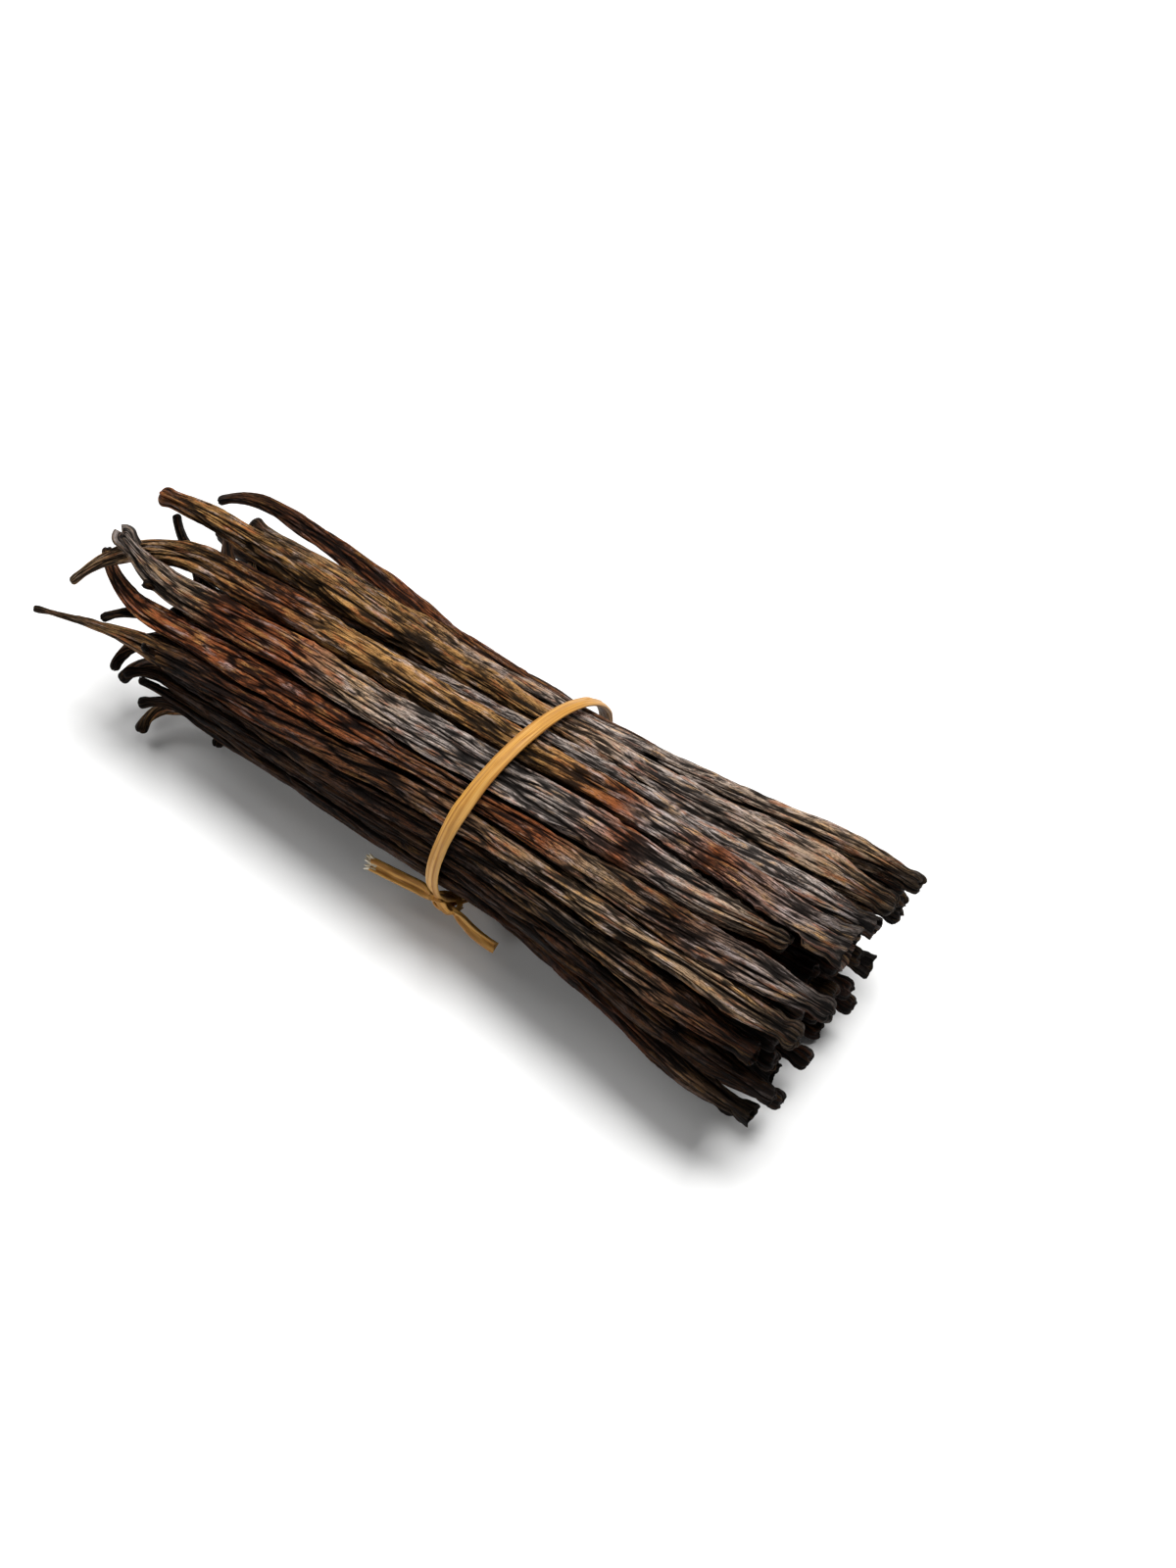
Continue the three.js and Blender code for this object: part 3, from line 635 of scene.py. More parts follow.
def skin_mesh(name, skins):
    """One mesh of closed pod skins, with its bake map and the attributes that the materials read."""
    points, faces, uvs = [], [], []
    fields = {label: [] for label in skins[0]["fields"]}
    base = 0
    longest = max(skin["travel"][-1] - skin["travel"][0] for skin in skins)
    for row, skin in enumerate(skins):
        n, sides = skin["rings"].shape[:2]
        points += [skin["rings"].reshape(-1, 3), np.array(skin["poles"])]
        for label, values in skin["fields"].items():
            values = values.reshape(n, sides, -1)
            fields[label] += [values.reshape(n * sides, -1), values[[0, n - 1]].mean(1)]

        r, k = np.meshgrid(np.arange(n - 1), np.arange(sides), indexing="ij")
        r, k = r.ravel(), k.ravel()
        here, there = base + r * sides, base + (r + 1) * sides
        after = (k + 1) % sides
        faces += np.stack([here + k, here + after, there + after, there + k], -1).tolist()
        u = BAKE["edge"] + (1 - 2 * BAKE["edge"]) * (skin["travel"] - skin["travel"][0]) / longest
        v = row + BAKE["lane"] + (1 - 2 * BAKE["lane"]) * np.arange(sides + 1) / sides
        v /= len(skins)
        corners = [u[r], v[k], u[r], v[k + 1], u[r + 1], v[k + 1], u[r + 1], v[k]]
        uvs.append(np.stack(corners, -1).reshape(-1, 2))

        k = np.arange(sides)
        for ring, back in ((0, 0), (n - 1, 1)):
            pole = np.full(sides, base + n * sides + back)
            start = base + ring * sides
            faces += np.stack([pole, start + (k + 1 - back) % sides, start + (k + back) % sides], -1).tolist()
            edge = np.full(sides, u[ring])
            tip = edge + BAKE["pole"] * (1 if back else -1)
            low, high = v[k + 1 - back], v[k + back]
            uvs.append(np.stack([tip, (low + high) / 2, edge, low, edge, high], -1).reshape(-1, 2))
        base += n * sides + 2
    mesh = bpy.data.meshes.new(name)
    mesh.from_pydata(((np.concatenate(points) + PLACE) * MM).tolist(), [], faces)
    mesh.uv_layers.new(name="OFBake").uv.foreach_set("vector", np.concatenate(uvs).astype(np.float32).ravel())
    for label, values in fields.items():
        store(mesh, label, np.concatenate(values))
    mesh.shade_smooth()
    return mesh


def store(mesh, name, values):
    """Puts a number or a vector on each of a mesh's points."""
    values = np.asarray(values, np.float32).reshape(len(mesh.vertices), -1)
    kind, field = ("FLOAT_VECTOR", "vector") if values.shape[1] == 3 else ("FLOAT", "value")
    mesh.attributes.new(name, kind, "POINT").data.foreach_set(field, values.ravel())


# ---- Node trees.


class Field:
    """An output of a node. Sums made with it add maths nodes to its tree."""

    def __init__(self, tree, socket):
        self.tree, self.socket = tree, socket

    def maths(self, operation, *others, clamp=False):
        inputs = dict(enumerate((self, *others)))
        return add(self.tree, "ShaderNodeMath", inputs, operation=operation, use_clamp=clamp)[0]

    def __add__(self, other):
        return self.maths("ADD", other)

    def __sub__(self, other):
        return self.maths("SUBTRACT", other)

    def __mul__(self, other):
        return self.maths("MULTIPLY", other)


def feed(tree, socket, value):
    if isinstance(value, Field):
        tree.links.new(value.socket, socket)
    else:
        socket.default_value = value


def add(tree, kind, inputs=None, **settings):
    """The outputs of a new node, with its settings, and with its inputs fed by number or name."""
    made = tree.nodes.new(kind)
    for name, value in settings.items():
        setattr(made, name, value)
    for key, value in (inputs or {}).items():
        feed(tree, made.inputs[key], value)
    return [Field(tree, socket) for socket in made.outputs]


def vector(tree, *parts):
    return add(tree, "ShaderNodeCombineXYZ", dict(enumerate(parts)))[0]


def vector_maths(operation, value, other):
    return add(value.tree, "ShaderNodeVectorMath", {0: value, 1: other}, operation=operation)[0]


def pattern(grain, name, output=0):
    """A noise of the table, read at the grain's coordinates: output 0 is a number, 1 a colour."""
    along, across, detail, roughness, distortion = PATTERNS[name]
    cells = vector_maths("MULTIPLY", grain, (along, across, across))
    inputs = {"Vector": cells, "Scale": 1, "Detail": detail, "Roughness": roughness, "Distortion": distortion}
    return add(grain.tree, "ShaderNodeTexNoise", inputs, noise_dimensions="3D")[output]


def window(value, low, high, to_low=0.0, to_high=1.0):
    """A value taken smoothly from one range to another."""
    inputs = {"Value": value, "From Min": low, "From Max": high, "To Min": to_low, "To Max": to_high}
    return add(value.tree, "ShaderNodeMapRange", inputs, interpolation_type="SMOOTHSTEP")[0]


def shaped(grain, name):
    return window(pattern(grain, name), *WINDOWS[name])


def lines(grain, name):
    """1 on the lines where a pattern passes its middle value, 0 past a width either side."""
    followed, width, _ = LINES[name]
    return window((pattern(grain, followed) - 0.5).maths("ABSOLUTE"), 0.0, width, 1.0, 0.0)


def geometry_tree(name, numbers):
    """A geometry tree, its inputs (a geometry, the named numbers and a material), and its output."""
    tree = bpy.data.node_groups.new(name, "GeometryNodeTree")
    new_socket = tree.interface.new_socket
    new_socket("Geometry", in_out="INPUT", socket_type="NodeSocketGeometry")
    for label, default in numbers.items():
        new_socket(label, in_out="INPUT", socket_type="NodeSocketFloat").default_value = default
    new_socket("Material", in_out="INPUT", socket_type="NodeSocketMaterial")
    new_socket("Geometry", in_out="OUTPUT", socket_type="NodeSocketGeometry")
    given = {socket.name: Field(tree, socket) for socket in tree.nodes.new("NodeGroupInput").outputs}
    return tree, given, tree.nodes.new("NodeGroupOutput").inputs["Geometry"]


def named(tree, name, kind="FLOAT"):
    return add(tree, "GeometryNodeInputNamedAttribute", {"Name": name}, data_type=kind)[0]


def kept(geometry, name, value, kind="FLOAT"):
    """The geometry with a value stored on its points."""
    inputs = {"Geometry": geometry, "Name": name, "Value": value}
    return add(geometry.tree, "GeometryNodeStoreNamedAttribute", inputs, data_type=kind, domain="POINT")[0]


def placed(geometry, position):
    return add(geometry.tree, "GeometryNodeSetPosition", {"Geometry": geometry, "Position": position})[0]


def raised(geometry, height):
    """The geometry with its points moved along their normals."""
    tree = geometry.tree
    normal = add(tree, "GeometryNodeInputNormal")[0]
    offset = add(tree, "ShaderNodeVectorMath", {0: normal, "Scale": height}, operation="SCALE")[0]
    return add(tree, "GeometryNodeSetPosition", {"Geometry": geometry, "Offset": offset})[0]


def position_parts(tree):
    return add(tree, "ShaderNodeSeparateXYZ", {0: add(tree, "GeometryNodeInputPosition")[0]})


def finish_tree(geometry, material, output):
    tree = geometry.tree
    real = add(tree, "GeometryNodeRealizeInstances", {"Geometry": geometry})[0]
    feed(tree, output, add(tree, "GeometryNodeSetMaterial", {"Geometry": real, "Material": material})[0])


def wrinkle_tree():
    """Wrinkles a pod's skin: lumps, long folds between creases, fine creases, kinks and warts."""
    depths = {"Lump depth": 0.0005, "Fold depth": 0.0009, "Ridge depth": 0.0002, "Wart height": 0.0003}
    tree, given, out = geometry_tree("Lengthwise wrinkles", {**depths, "Seed": 3.0})
    seed = vector(tree, given["Seed"], given["Seed"], 0.0)
    grain = vector_maths("ADD", named(tree, "grain", "FLOAT_VECTOR"), seed)
    girth = window(named(tree, "girth"), *WINDOWS["girth"])

    crease, trough, groove = (lines(grain, name) for name in ("crease", "trough", "groove"))
    kink = lines(grain, "kink") * shaped(grain, "kinked")
    inwards = (crease * (1 - TROUGH_SHARE) + trough * TROUGH_SHARE) * given["Fold depth"]
    inwards = groove.maths("MAXIMUM", kink) * given["Ridge depth"] + inwards
    inwards = (shaped(grain, "lump") * given["Lump depth"] + inwards) * girth
    warts = shaped(grain, "wart") * (given["Wart height"] * girth)
    wrinkled = raised(given["Geometry"], warts - inwards)
    x, y, z = position_parts(tree)
    rested = placed(wrinkled, vector(tree, x, y, z.maths("MAXIMUM", 0.0)))

    # The creases, grooves, kinks and troughs as one mask that the pod material darkens: painted shade in the
    # creases.
    dark = crease
    for name, line in (("groove", groove), ("kink", kink), ("trough", trough)):
        dark = dark.maths("MAXIMUM", line * LINES[name][2])
    finish_tree(kept(rested, "crease_shade", dark), given["Material"], out)
    return tree


def grown(name, mesh, tree, values):
    """A plain mesh object from a source mesh, a geometry tree and the values of its named inputs."""
    source = bpy.data.objects.new(name + "_source", mesh)
    bpy.context.scene.collection.objects.link(source)
    modifier = source.modifiers.new("tree", "NODES")
    modifier.node_group = tree
    sockets = {item.name: item.identifier for item in tree.interface.items_tree if item.in_out == "INPUT"}
    for label, value in values.items():
        modifier[sockets[label]] = value
    bpy.context.view_layer.update()
    depsgraph = bpy.context.evaluated_depsgraph_get()
    made = bpy.data.meshes.new_from_object(source.evaluated_get(depsgraph), depsgraph=depsgraph)
    made.name = name
    source.modifiers.remove(modifier)
    bpy.data.objects.remove(source)
    piece = bpy.data.objects.new(name, made)
    bpy.context.scene.collection.objects.link(piece)
    return piece


# ---- Materials.

COLOUR, VECTOR, NUMBER = range(3)  # the outputs of an attribute


def new_material(name):
    material = bpy.data.materials.new(name)
    material.use_nodes = True
    material.node_tree.nodes.clear()
    return material, material.node_tree


def paint(material, colour, roughness, specular, height=None, depth=0.0):
    """Gives a material its shader, with a bump if it has a height."""
    tree = material.node_tree
    inputs = {"Base Color": colour, "Roughness": roughness, "Specular IOR Level": specular}
    if height is not None:
        bump = {"Strength": 1.0, "Distance": depth, "Height": height}
        inputs["Normal"] = add(tree, "ShaderNodeBump", bump)[0]
    add(tree, "ShaderNodeOutputMaterial", {0: add(tree, "ShaderNodeBsdfPrincipled", inputs)[0]})
    return material


def blend(factor, a, b, mode="MIX"):
    tree = next(value.tree for value in (factor, a, b) if isinstance(value, Field))
    return add(tree, "ShaderNodeMix", {0: factor, 6: a, 7: b}, data_type="RGBA", blend_type=mode)[2]


def attribute(tree, name, output):
    return add(tree, "ShaderNodeAttribute", attribute_name=name, attribute_type="GEOMETRY")[output]


def pod_material(look):
    """Cured pod: short pale fibres in tan, gold, grey and russet over near-black oily skin."""
    material, tree = new_material("cured_pod")
    grain, crease_shade = attribute(tree, "grain", VECTOR), attribute(tree, "crease_shade", NUMBER)
    tint, bare = attribute(tree, "tint", COLOUR), attribute(tree, "bare", NUMBER)
    oil = (*look.mottle_colour, 1)

    fibre, strand, speck = (pattern(grain, name) for name in FIBRES)
    light = fibre * FIBRES["fibre"] + strand * FIBRES["strand"] + speck * FIBRES["speck"]
    light = window(light + shaped(grain, "patch"), *WINDOWS["light"])
    for name in ("thread", "furrow"):
        light = light * (lines(grain, name) * -LINES[name][2] + 1.0)
    oily = shaped(grain, "mottle")
    # The light fibres fade out in the creases, as painted shade, and they also fade under the oily mottles.
    shown = light * window(crease_shade, *WINDOWS["crest"]) * (oily * -OILY["cover"] + 1.0)
    # Where a pod presses on its neighbours its light fibres darken: painted shade between the pods.
    shown = shown.maths("MULTIPLY", window(bare, *WINDOWS["bare"]), clamp=True)

    ridge = tint
    # The flecks dim with the ridge colour's brightness, so on the near flank they carry its painted shade
    # too.
    level = window(add(tree, "ShaderNodeRGBToBW", {0: tint})[0], *WINDOWS["level"])
    hues = add(tree, "ShaderNodeSeparateColor", {0: pattern(grain, "hue", output=1)})
    for hue, (fleck, most) in zip(hues, FLECKS):
        dimmed = blend(1.0, (*fleck, 1), level, "MULTIPLY")
        ridge = blend(window(hue, *WINDOWS["hue"], most), ridge, dimmed)
    dark = blend(VALLEY_TINT, (*look.valley_colour, 1), tint)
    # The creases take the near-black oil colour: painted shade.
    dark = blend(crease_shade * OILY["crease_shade"], dark, oil)
    colour = blend(shown, dark, ridge)
    colour = blend(oily * window(fibre, *WINDOWS["soaked"]), colour, oil)
    rough = oily * -OILY["gloss"] + 0.6
    return paint(material, colour, rough, specular=0.07, height=strand * 1.2 + fibre, depth=0.0003)


def raffia_material(look):
    """Raffia: golden fibres lengthwise, with pale streaks and dark flecks."""
    material, tree = new_material("golden_raffia")
    grain = attribute(tree, "grain", VECTOR)
    colour = blend(shaped(grain, "raffia fibre"), (*look.raffia_dark, 1), (*look.raffia_light, 1))
    colour = blend(shaped(grain, "raffia streak"), colour, RAFFIA_STREAK)
    colour = blend(shaped(grain, "raffia fleck"), colour, RAFFIA_FLECK)
    fibre = pattern(grain, "raffia fibre")
    rough = window(fibre, *WINDOWS["raffia rough"])
    return paint(material, colour, rough, specular=0.3, height=fibre, depth=0.00015)


def pale_material():
    """Cut raffia: straw-pale fibre, whiter in streaks."""
    material, tree = new_material("pale_fibre")
    streak = shaped(attribute(tree, "grain", VECTOR), "cut streak")
    return paint(material, blend(streak, *CUT_FIBRE), roughness=0.6, specular=0.3)


# ---- The raffia tie.


def strip_tree():
    """A strip of raffia along a path: a flat profile swept along it, folded and ribbed with fibres."""
    sizes = {"Width": 0.0026, "Thickness": 0.0006, "Fold": 0.00025, "Hem": 0.00035, "Fibre depth": 0.00006}
    tree, given, out = geometry_tree("Raffia strip", {**sizes, "Seed": 5.0})
    path = add(tree, "GeometryNodeMeshToCurve", {"Mesh": given["Geometry"]})[0]
    facing = named(tree, "facing", "FLOAT_VECTOR")
    path = add(tree, "GeometryNodeSetCurveNormal", {"Curve": path, "Normal": facing}, mode="FREE")[0]

    def squared(part):
        """Takes a circle's coordinate towards that of a square with rounded corners."""
        return part.maths("SIGN") * (part * 2.0).maths("ABSOLUTE").maths("POWER", STRIP["square"]) * 0.5

    circle = {"Resolution": STRIP["sides"], "Radius": 0.5}
    ring = add(tree, "GeometryNodeCurvePrimitiveCircle", circle, mode="RADIUS")[0]
    x, y = (squared(part) for part in position_parts(tree)[:2])
    ring = kept(kept(ring, "across", y), "face", x)
    ring = placed(ring, vector(tree, x * given["Thickness"], y * given["Width"], 0.0))
    sweep = {"Curve": path, "Profile Curve": ring, "Scale": named(tree, "drawn"), "Fill Caps": True}
    swept = add(tree, "GeometryNodeCurveToMesh", sweep)[0]

    across, face = named(tree, "across"), named(tree, "face")
    travel = named(tree, "travel") + given["Seed"]
    grain = vector(tree, travel, across * STRIP["across"], face * STRIP["face"] + given["Seed"])
    swept = kept(swept, "grain", grain, "FLOAT_VECTOR")
    wander = pattern(grain, "raffia fold")
    roof = (across - (wander - 0.5) * STRIP["fold way"]).maths("ABSOLUTE")
    roof = window(roof, *WINDOWS["roof"]) * given["Fold"]
    hem = window(across - (wander * STRIP["hem way"] - 0.5), *WINDOWS["hem"]) * given["Hem"]
    rise = (roof + hem) * window(face, *WINDOWS["outer face"])
    rise = rise - shaped(grain, "raffia rib") * given["Fibre depth"]
    smooth = add(tree, "GeometryNodeSetShadeSmooth", {0: raised(swept, rise)})[0]
    finish_tree(smooth, given["Material"], out)
    return tree


def path_mesh(name, places, facing, closed=False, drawn=1.0, runs=1):
    """Paths as chains of edges, with the way that the strip's flat side faces and how wide it is drawn."""
    count = len(places)
    edges = [(k, k + 1) for k in range(count - 1) if (k + 1) % (count // runs) or runs == 1]
    edges += [(count - 1, 0)] if closed else []
    mesh = bpy.data.meshes.new(name)
    mesh.from_pydata(((places + PLACE) * MM).tolist(), edges, [])
    steps = np.linalg.norm(np.diff(places, axis=0), axis=-1)
    store(mesh, "facing", unit(facing))
    store(mesh, "travel", np.concatenate([[0], np.cumsum(steps)]))
    store(mesh, "drawn", np.broadcast_to(drawn, count))
    return mesh


def loop_path():
    """The loop round the bundle, with how wide the strip is drawn along it."""
    angle = (LOOP_SEAM + np.arange(0, 360, 1.0)) % 360
    off = CLEARANCE + STRIP_THICKNESS / 2
    drawn = np.interp(angle, *zip(*LOOP_DRAWN))
    facing = outward(angle) + ALONG * np.interp(angle, *zip(*LOOP_LEAN))[:, None]
    return tie_point(angle, np.full(len(angle), off)), facing, drawn


def smooth_rows(rows, each):
    """Rows of numbers, with more of them between on a smooth curve through all."""
    rows = np.array(rows, float)
    padded = np.concatenate([2 * rows[:1] - rows[1:2], rows, 2 * rows[-1:] - rows[-2:-1]])
    made = []
    for k in range(len(rows) - 1):
        a, b, c, d = padded[k : k + 4]
        for u in np.arange(each) / each:
            made.append(b + 0.5 * u * (c - a + u * (2 * a - 5 * b + 4 * c - d + u * (3 * (b - c) + d - a))))
    return np.array(made + [rows[-1]])


def knot_path(rows):
    """A path of the strip in the knot."""
    rows = smooth_rows(rows, KNOT_STEPS)
    out = outward(KNOT_ANGLE)
    foot = tie_point(KNOT_ANGLE, CLEARANCE)
    places = foot + rows[:, :1] * np.cross(out, ALONG) + rows[:, 1:2] * ALONG + rows[:, 2:3] * out
    return places, rows[:, 3:4] * ALONG + rows[:, 4:5] * out, rows[:, 5]


def end_path(end):
    """The path of a loose end: it leaves the knot along the bundle, bows out and droops."""
    start = tie_point(KNOT_ANGLE, CLEARANCE + END_START)
    out = outward(KNOT_ANGLE)
    u = np.linspace(0, 1, END_PLACES)[:, None]
    places = start + ALONG * end["towards"] * end["length"] * u - np.array([0, 0, end["droop"]]) * u * u
    size, phase = end["bow"]
    places = places + out * size * np.sin(phase * u)
    return places, mix(out, np.array(ENDS_FACE), end["turned"] * ease(END_TURN * u))


def fray_paths(end):
    """Short fibres that leave a loose end's tip and spread."""
    places, facing = end_path(end)
    tip, ahead, face = places[-1], unit(places[-1] - places[-3]), unit(facing[-1])
    side = unit(np.cross(face, ahead))
    chosen = np.random.default_rng(FRAY["seed"])
    u = np.linspace(0, 1, FRAY["places"])[:, None]
    stray = FRAY_WAY["stray"]
    paths, ways = [], []
    for k in range(FRAY["count"]):
        seat = mix(-0.5, 0.5, (k + 0.5) / FRAY["count"]) * end["width"] * FRAY_WAY["fill"]
        lift = chosen.uniform(-FRAY_WAY["lift"], FRAY_WAY["lift"]) * end["thick"]
        length = FRAY["length"] * chosen.uniform(FRAY["least"], 1)
        bend = side * (seat * FRAY_WAY["fan"] + chosen.normal(0, stray))
        bend = bend + face * chosen.normal(FRAY_WAY["rise"], stray)
        start = tip - ahead * FRAY["back"] + side * seat + face * lift
        paths.append(start + ahead * (FRAY["back"] + length) * u + bend * FRAY_WAY["spread"] * u**2)
        ways.append(np.broadcast_to(face + side * chosen.normal(0, FRAY_WAY["turn"]), (len(u), 3)))
    drawn = np.tile(np.interp(u[:, 0], *zip(*FRAY_DRAWN)), FRAY["count"])
    return np.concatenate(paths), np.concatenate(ways), drawn


# ---- Where the layout lies in the frame.

CROWN_BAND = 0.05  # points this close under the tie's top belong to its crown


def layout_place():
    """The layout's origin in the frame, in millimetres, from the tie's loop."""
    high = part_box("tie")[1]
    points = np.array([v.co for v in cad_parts["tie"].data.vertices]) / MM
    crown = points[points[:, 2] > high.z / MM - CROWN_BAND]
    shift_x = crown[:, 0].mean() - tie_shift(90)
    shift_y = high.y / MM - TIE["width"] - CLEARANCE - STRIP_THICKNESS
    return np.array([shift_x, shift_y, 0.0])


PLACE = layout_place()


# ---- Sizes and colours that a user would change.


class VANILLA_PG_pods(bpy.types.PropertyGroup):
    lump_depth: FloatProperty(
        name="Lump depth", description="Depth of the slow dents",
        default=0.0005, min=0, unit="LENGTH", precision=5,
    )
    fold_depth: FloatProperty(
        name="Fold depth", description="Depth of the long folds",
        default=0.0009, min=0, unit="LENGTH", precision=5,
    )
    ridge_depth: FloatProperty(
        name="Ridge depth", description="Depth of the fine ridges",
        default=0.0002, min=0, unit="LENGTH", precision=5,
    )
    wart_height: FloatProperty(
        name="Wart height", description="Height of the small warts",
        default=0.0003, min=0, unit="LENGTH", precision=5,
    )
    seed: IntProperty(name="Seed", description="Seed of the wrinkles", default=3)
    valley_colour: FloatVectorProperty(
        name="Valley colour", description="Colour between the ridges",
        subtype="COLOR", default=(0.0042, 0.0020, 0.0012),
    )
    mottle_colour: FloatVectorProperty(
        name="Mottle colour", description="Colour of the oily mottles",
        subtype="COLOR", default=(0.0027, 0.0023, 0.0023),
    )


class VANILLA_PG_raffia(bpy.types.PropertyGroup):
    width: FloatProperty(
        name="Width", description="Width of the strip",
        default=0.0026, unit="LENGTH", precision=5,
    )
    thickness: FloatProperty(
        name="Thickness", description="Thickness of the strip",
        default=0.0006, unit="LENGTH", precision=5,
    )
    raffia_dark: FloatVectorProperty(
        name="Dark fibre", description="Colour of the darker fibres",
        subtype="COLOR", default=(0.33, 0.135, 0.022),
    )
    raffia_light: FloatVectorProperty(
        name="Light fibre", description="Colour of the lighter fibres",
        subtype="COLOR", default=(0.60, 0.305, 0.058),
    )


class VANILLA_PG_stage(bpy.types.PropertyGroup):
    azimuth: FloatProperty(
        name="Azimuth", description="Direction of the camera round the bundle",
        default=math.radians(34.78), subtype="ANGLE",
    )
    elevation: FloatProperty(
        name="Elevation", description="Height of the camera over the floor",
        default=math.radians(56.24), subtype="ANGLE",
    )
    distance: FloatProperty(
        name="Distance", description="From the camera to what it looks at",
        default=0.335, unit="LENGTH", precision=4,
    )
    lens: FloatProperty(name="Lens", description="Focal length in millimetres", default=44.85)
    floor_colour: FloatVectorProperty(
        name="Floor colour", description="Colour of the studio floor",
        subtype="COLOR", default=(0.86, 0.86, 0.855),
    )


# ---- Operators.

PODS = all_pods()
FIRST_INNER = len(SHOWN) + HIDDEN["count"]
FIRST_HEART = FIRST_INNER + INNER[0][1]
OUTER_GROUPS = {
    "pods_crown": range(0, 4),
    "pods_shoulder": range(4, 8),
    "pods_near_flank": range(8, len(SHOWN)),
    "pods_underside": range(len(SHOWN), FIRST_INNER),
}
INNER_GROUPS = {
    "pods_inner_ring": range(FIRST_INNER, FIRST_HEART),
    "pods_heart": range(FIRST_HEART, len(PODS)),
}


def make_strip(name, path, context, **values):
    """A piece of raffia strip along a path."""
    look = context.scene.vanilla_raffia
    piece = grown(
        name,
        path,
        shared_tree("Raffia strip", strip_tree),
        {
            "Width": look.width,
            "Thickness": look.thickness,
            "Material": shared_material("golden_raffia", lambda: raffia_material(look)),
            **values,
        },
    )
    declare(piece, "tie")


def declare(piece, node):
    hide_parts(node)
    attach(piece, "root")


def shared_material(name, make):
    return bpy.data.materials.get(name) or make()


def shared_tree(name, make):
    return bpy.data.node_groups.get(name) or make()


def make_pods(groups, context):
    look = context.scene.vanilla_pods
    tree = shared_tree("Lengthwise wrinkles", wrinkle_tree)
    material = shared_material("cured_pod", lambda: pod_material(look))
    for name, indices in groups.items():
        skins = []
        for index in indices:
            kind = "shown" if index < len(SHOWN) else "hidden" if index < FIRST_INNER else "inner"
            sides, step = DRAWN[kind]
            skins.append(pod_skin(PODS[index], PODS, sides, step))
        piece = grown(
            name,
            skin_mesh(name + "_skins", skins),
            tree,
            {
                "Lump depth": look.lump_depth,
                "Fold depth": look.fold_depth,
                "Ridge depth": look.ridge_depth,
                "Wart height": look.wart_height,
                "Seed": float(look.seed),
                "Material": material,
            },
        )
        declare(piece, "pods")


def aimed(name, data, place, aim):
    """A lamp or camera that looks from its place at another."""
    made = bpy.data.objects.new(name, data)
    made.location = place
    made.rotation_mode = "QUATERNION"
    made.rotation_quaternion = (aim - place).to_track_quat("-Z", "Y")
    bpy.context.scene.collection.objects.link(made)
    return made


class VANILLA_OT_outer_pods(bpy.types.Operator):
    """Adds the outer ring of pods, in four pieces"""

    bl_idname = "vanilla.outer_pods"
    bl_label = "Outer pods"

    def execute(self, context):
        make_pods(OUTER_GROUPS, context)
        return {"FINISHED"}


class VANILLA_OT_inner_pods(bpy.types.Operator):
    """Adds the pods inside the outer ring, which show at both ends"""

    bl_idname = "vanilla.inner_pods"
    bl_label = "Inner pods"

    def execute(self, context):
        make_pods(INNER_GROUPS, context)
        return {"FINISHED"}


class VANILLA_OT_raffia_loop(bpy.types.Operator):
    """Adds the loop of raffia round the bundle"""

    bl_idname = "vanilla.raffia_loop"
    bl_label = "Raffia loop"

    def execute(self, context):
        places, facing, drawn = loop_path()
        path = path_mesh("loop_path", places, facing, closed=True, drawn=drawn)
        make_strip("raffia_loop", path, context)
        return {"FINISHED"}


class VANILLA_OT_raffia_knot(bpy.types.Operator):
    """Adds the knot, low on the near side"""

    bl_idname = "vanilla.raffia_knot"
    bl_label = "Raffia knot"

    def execute(self, context):
        halves = (("raffia_knot_over", KNOT_OVER, 11.0), ("raffia_knot_under", KNOT_UNDER, 23.0))
        for name, rows, seed in halves:
            places, facing, drawn = knot_path(rows)
            make_strip(name, path_mesh(name + "_path", places, facing, drawn=drawn), context, Seed=seed)
        return {"FINISHED"}


class VANILLA_OT_raffia_ends(bpy.types.Operator):
    """Adds the two loose ends of the raffia"""

    bl_idname = "vanilla.raffia_ends"
    bl_label = "Loose ends"

    def execute(self, context):
        for name, end in (("raffia_long_end", LONG_END), ("raffia_short_end", SHORT_END)):
            path = path_mesh(name + "_path", *end_path(end))
            sizes = {"Width": end["width"] * MM, "Thickness": end["thick"] * MM, "Fold": END_FOLD * MM}
            make_strip(name, path, context, Seed=end["seed"], **sizes)
        return {"FINISHED"}


class VANILLA_OT_raffia_fray(bpy.types.Operator):
    """Adds the pale cut fibres at the tip of the long loose end"""

    bl_idname = "vanilla.raffia_fray"
    bl_label = "Frayed fibres"

    def execute(self, context):
        places, facing, drawn = fray_paths(LONG_END)
        path = path_mesh("fray_path", places, facing, drawn=drawn, runs=FRAY["count"])
        width = FRAY["width"] * MM
        pale = shared_material("pale_fibre", pale_material)
        make_strip("raffia_fray", path, context, Width=width, Thickness=width / 2, Fold=0.0, Material=pale)
        return {"FINISHED"}


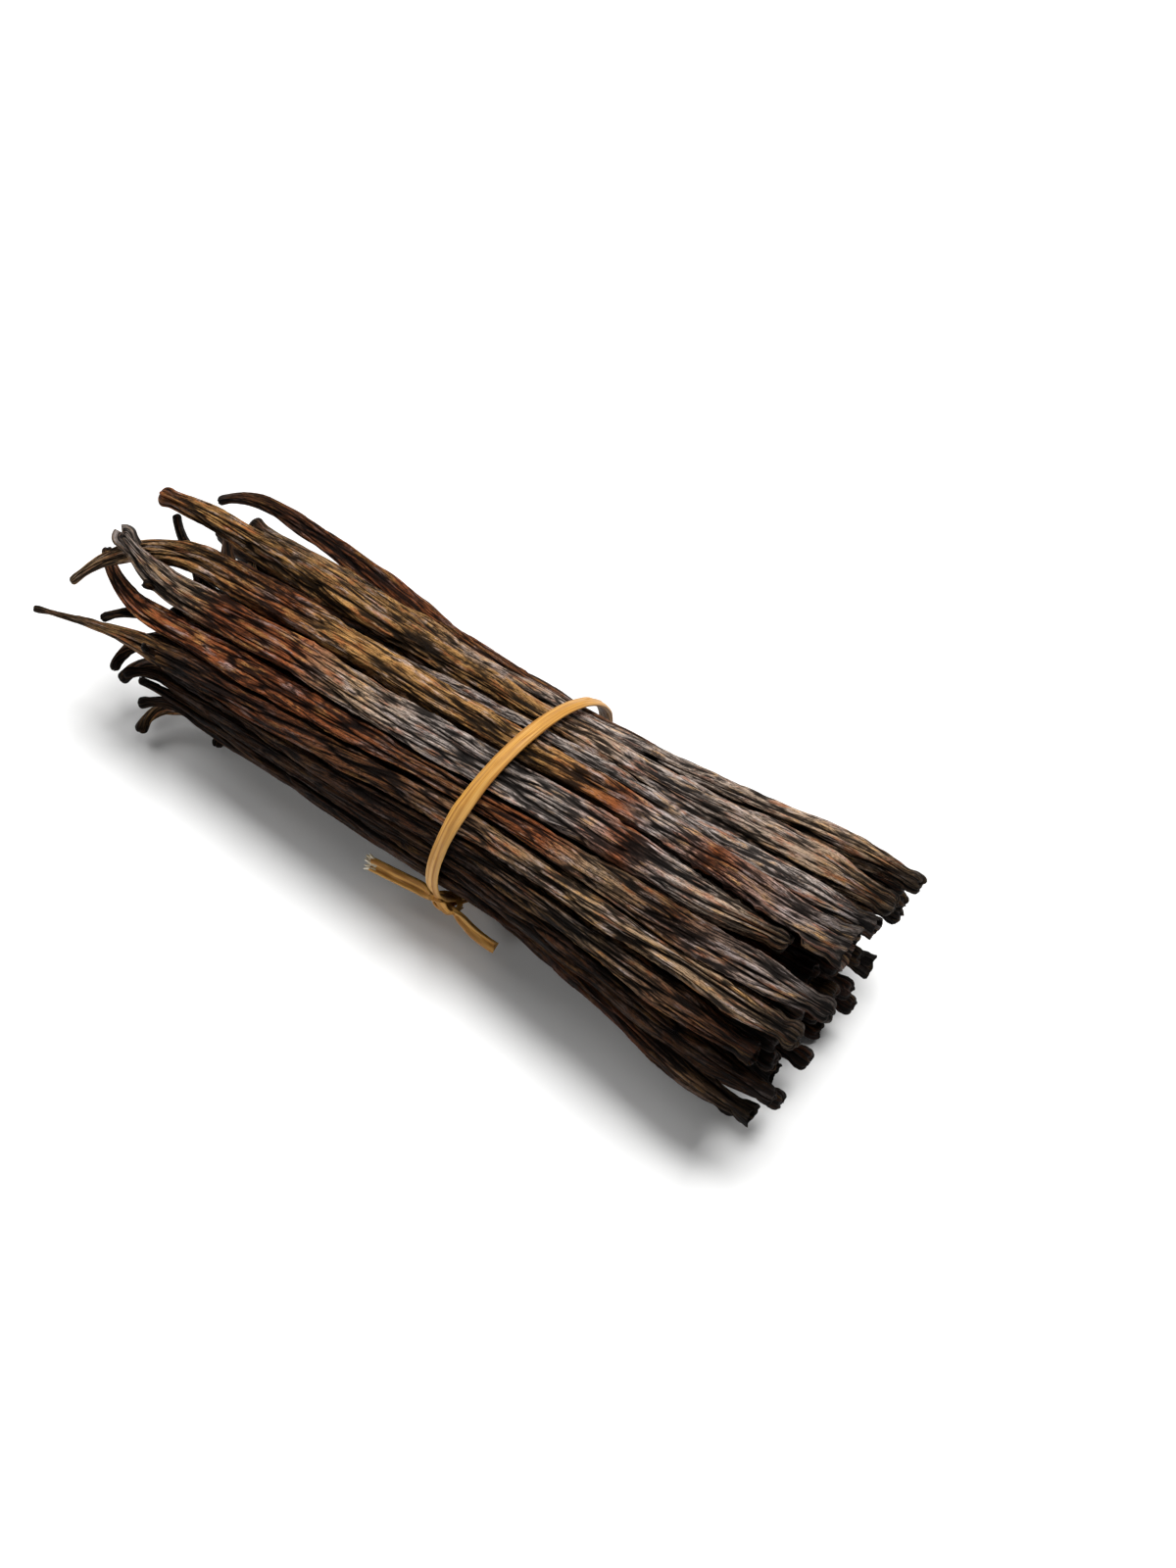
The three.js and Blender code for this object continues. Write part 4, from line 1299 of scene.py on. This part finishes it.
class VANILLA_OT_stage(bpy.types.Operator):
    """Adds the pale floor, the soft studio light and the camera"""

    bl_idname = "vanilla.stage"
    bl_label = "Studio stage"

    def execute(self, context):
        look = context.scene.vanilla_stage
        floor_mesh = bpy.data.meshes.new("floor")
        sides = ((-1, -1), (1, -1), (1, 1), (-1, 1))
        corners = [(x * FLOOR_HALF, y * FLOOR_HALF, -FLOOR_DROP) for x, y in sides]
        floor_mesh.from_pydata(corners, [], [(0, 1, 2, 3)])
        floor = bpy.data.objects.new("floor", floor_mesh)
        context.scene.collection.objects.link(floor)
        paper = new_material("floor_paper")[0]
        floor_mesh.materials.append(paint(paper, (*look.floor_colour, 1), roughness=0.9, specular=0.1))

        world = bpy.data.worlds.new("soft_light")
        world.use_nodes = True
        sky = world.node_tree
        colour, strength = list(sky.nodes["Background"].inputs)[:2]
        feed(sky, colour, (1, 1, 1, 1))
        to_camera = add(sky, "ShaderNodeLightPath")[0]
        feed(sky, strength, window(to_camera, 0.0, 1.0, *SKY))
        context.scene.world = world
        for name, (place, size, power) in LAMPS.items():
            light = bpy.data.lights.new(name, "AREA")
            light.shape, light.size, light.energy = "DISK", size, power
            aimed(name, light, Vector(place), Vector())

        azimuth, elevation = look.azimuth, look.elevation
        level = math.cos(elevation)
        back = Vector((math.sin(azimuth) * level, -math.cos(azimuth) * level, math.sin(elevation)))
        aim = Vector(((PLACE + np.array(AIM)) * MM).tolist())
        camera = aimed("camera", bpy.data.cameras.new("camera"), aim + back * look.distance, aim)
        camera.data.lens = look.lens
        camera.data.sensor_width = 36
        camera.data.clip_start = 0.01
        context.scene.camera = camera
        context.scene.view_settings.view_transform = "Standard"
        context.scene.view_settings.look = "None"
        return {"FINISHED"}


POD_OPERATORS = (VANILLA_OT_outer_pods, VANILLA_OT_inner_pods)
RAFFIA_OPERATORS = (
    VANILLA_OT_raffia_loop,
    VANILLA_OT_raffia_knot,
    VANILLA_OT_raffia_ends,
    VANILLA_OT_raffia_fray,
)


class VANILLA_PT_bundle(bpy.types.Panel):
    bl_idname = "VANILLA_PT_bundle"
    bl_label = "Vanilla pod bundle"
    bl_space_type = "VIEW_3D"
    bl_region_type = "UI"
    bl_category = "Vanilla"

    def draw(self, context):
        scene = context.scene
        for label, settings, operators in (
            ("Pods", scene.vanilla_pods, POD_OPERATORS),
            ("Raffia", scene.vanilla_raffia, RAFFIA_OPERATORS),
            ("Stage", scene.vanilla_stage, (VANILLA_OT_stage,)),
        ):
            box = self.layout.box()
            box.label(text=label)
            for name in settings.bl_rna.properties.keys():
                if name not in {"rna_type", "name"}:
                    box.prop(settings, name)
            for operator in operators:
                box.operator(operator.bl_idname)


CLASSES = (
    VANILLA_PG_pods,
    VANILLA_PG_raffia,
    VANILLA_PG_stage,
    *POD_OPERATORS,
    *RAFFIA_OPERATORS,
    VANILLA_OT_stage,
    VANILLA_PT_bundle,
)


def register():
    for made in CLASSES:
        bpy.utils.register_class(made)
    bpy.types.Scene.vanilla_pods = PointerProperty(type=VANILLA_PG_pods)
    bpy.types.Scene.vanilla_raffia = PointerProperty(type=VANILLA_PG_raffia)
    bpy.types.Scene.vanilla_stage = PointerProperty(type=VANILLA_PG_stage)


def unregister():
    del bpy.types.Scene.vanilla_stage
    del bpy.types.Scene.vanilla_raffia
    del bpy.types.Scene.vanilla_pods
    for made in reversed(CLASSES):
        bpy.utils.unregister_class(made)


def main():
    register()
    bpy.ops.vanilla.outer_pods()
    bpy.ops.vanilla.inner_pods()
    bpy.ops.vanilla.raffia_loop()
    bpy.ops.vanilla.raffia_knot()
    bpy.ops.vanilla.raffia_ends()
    bpy.ops.vanilla.raffia_fray()
    bpy.ops.vanilla.stage()


if __name__ == "__main__":
    main()
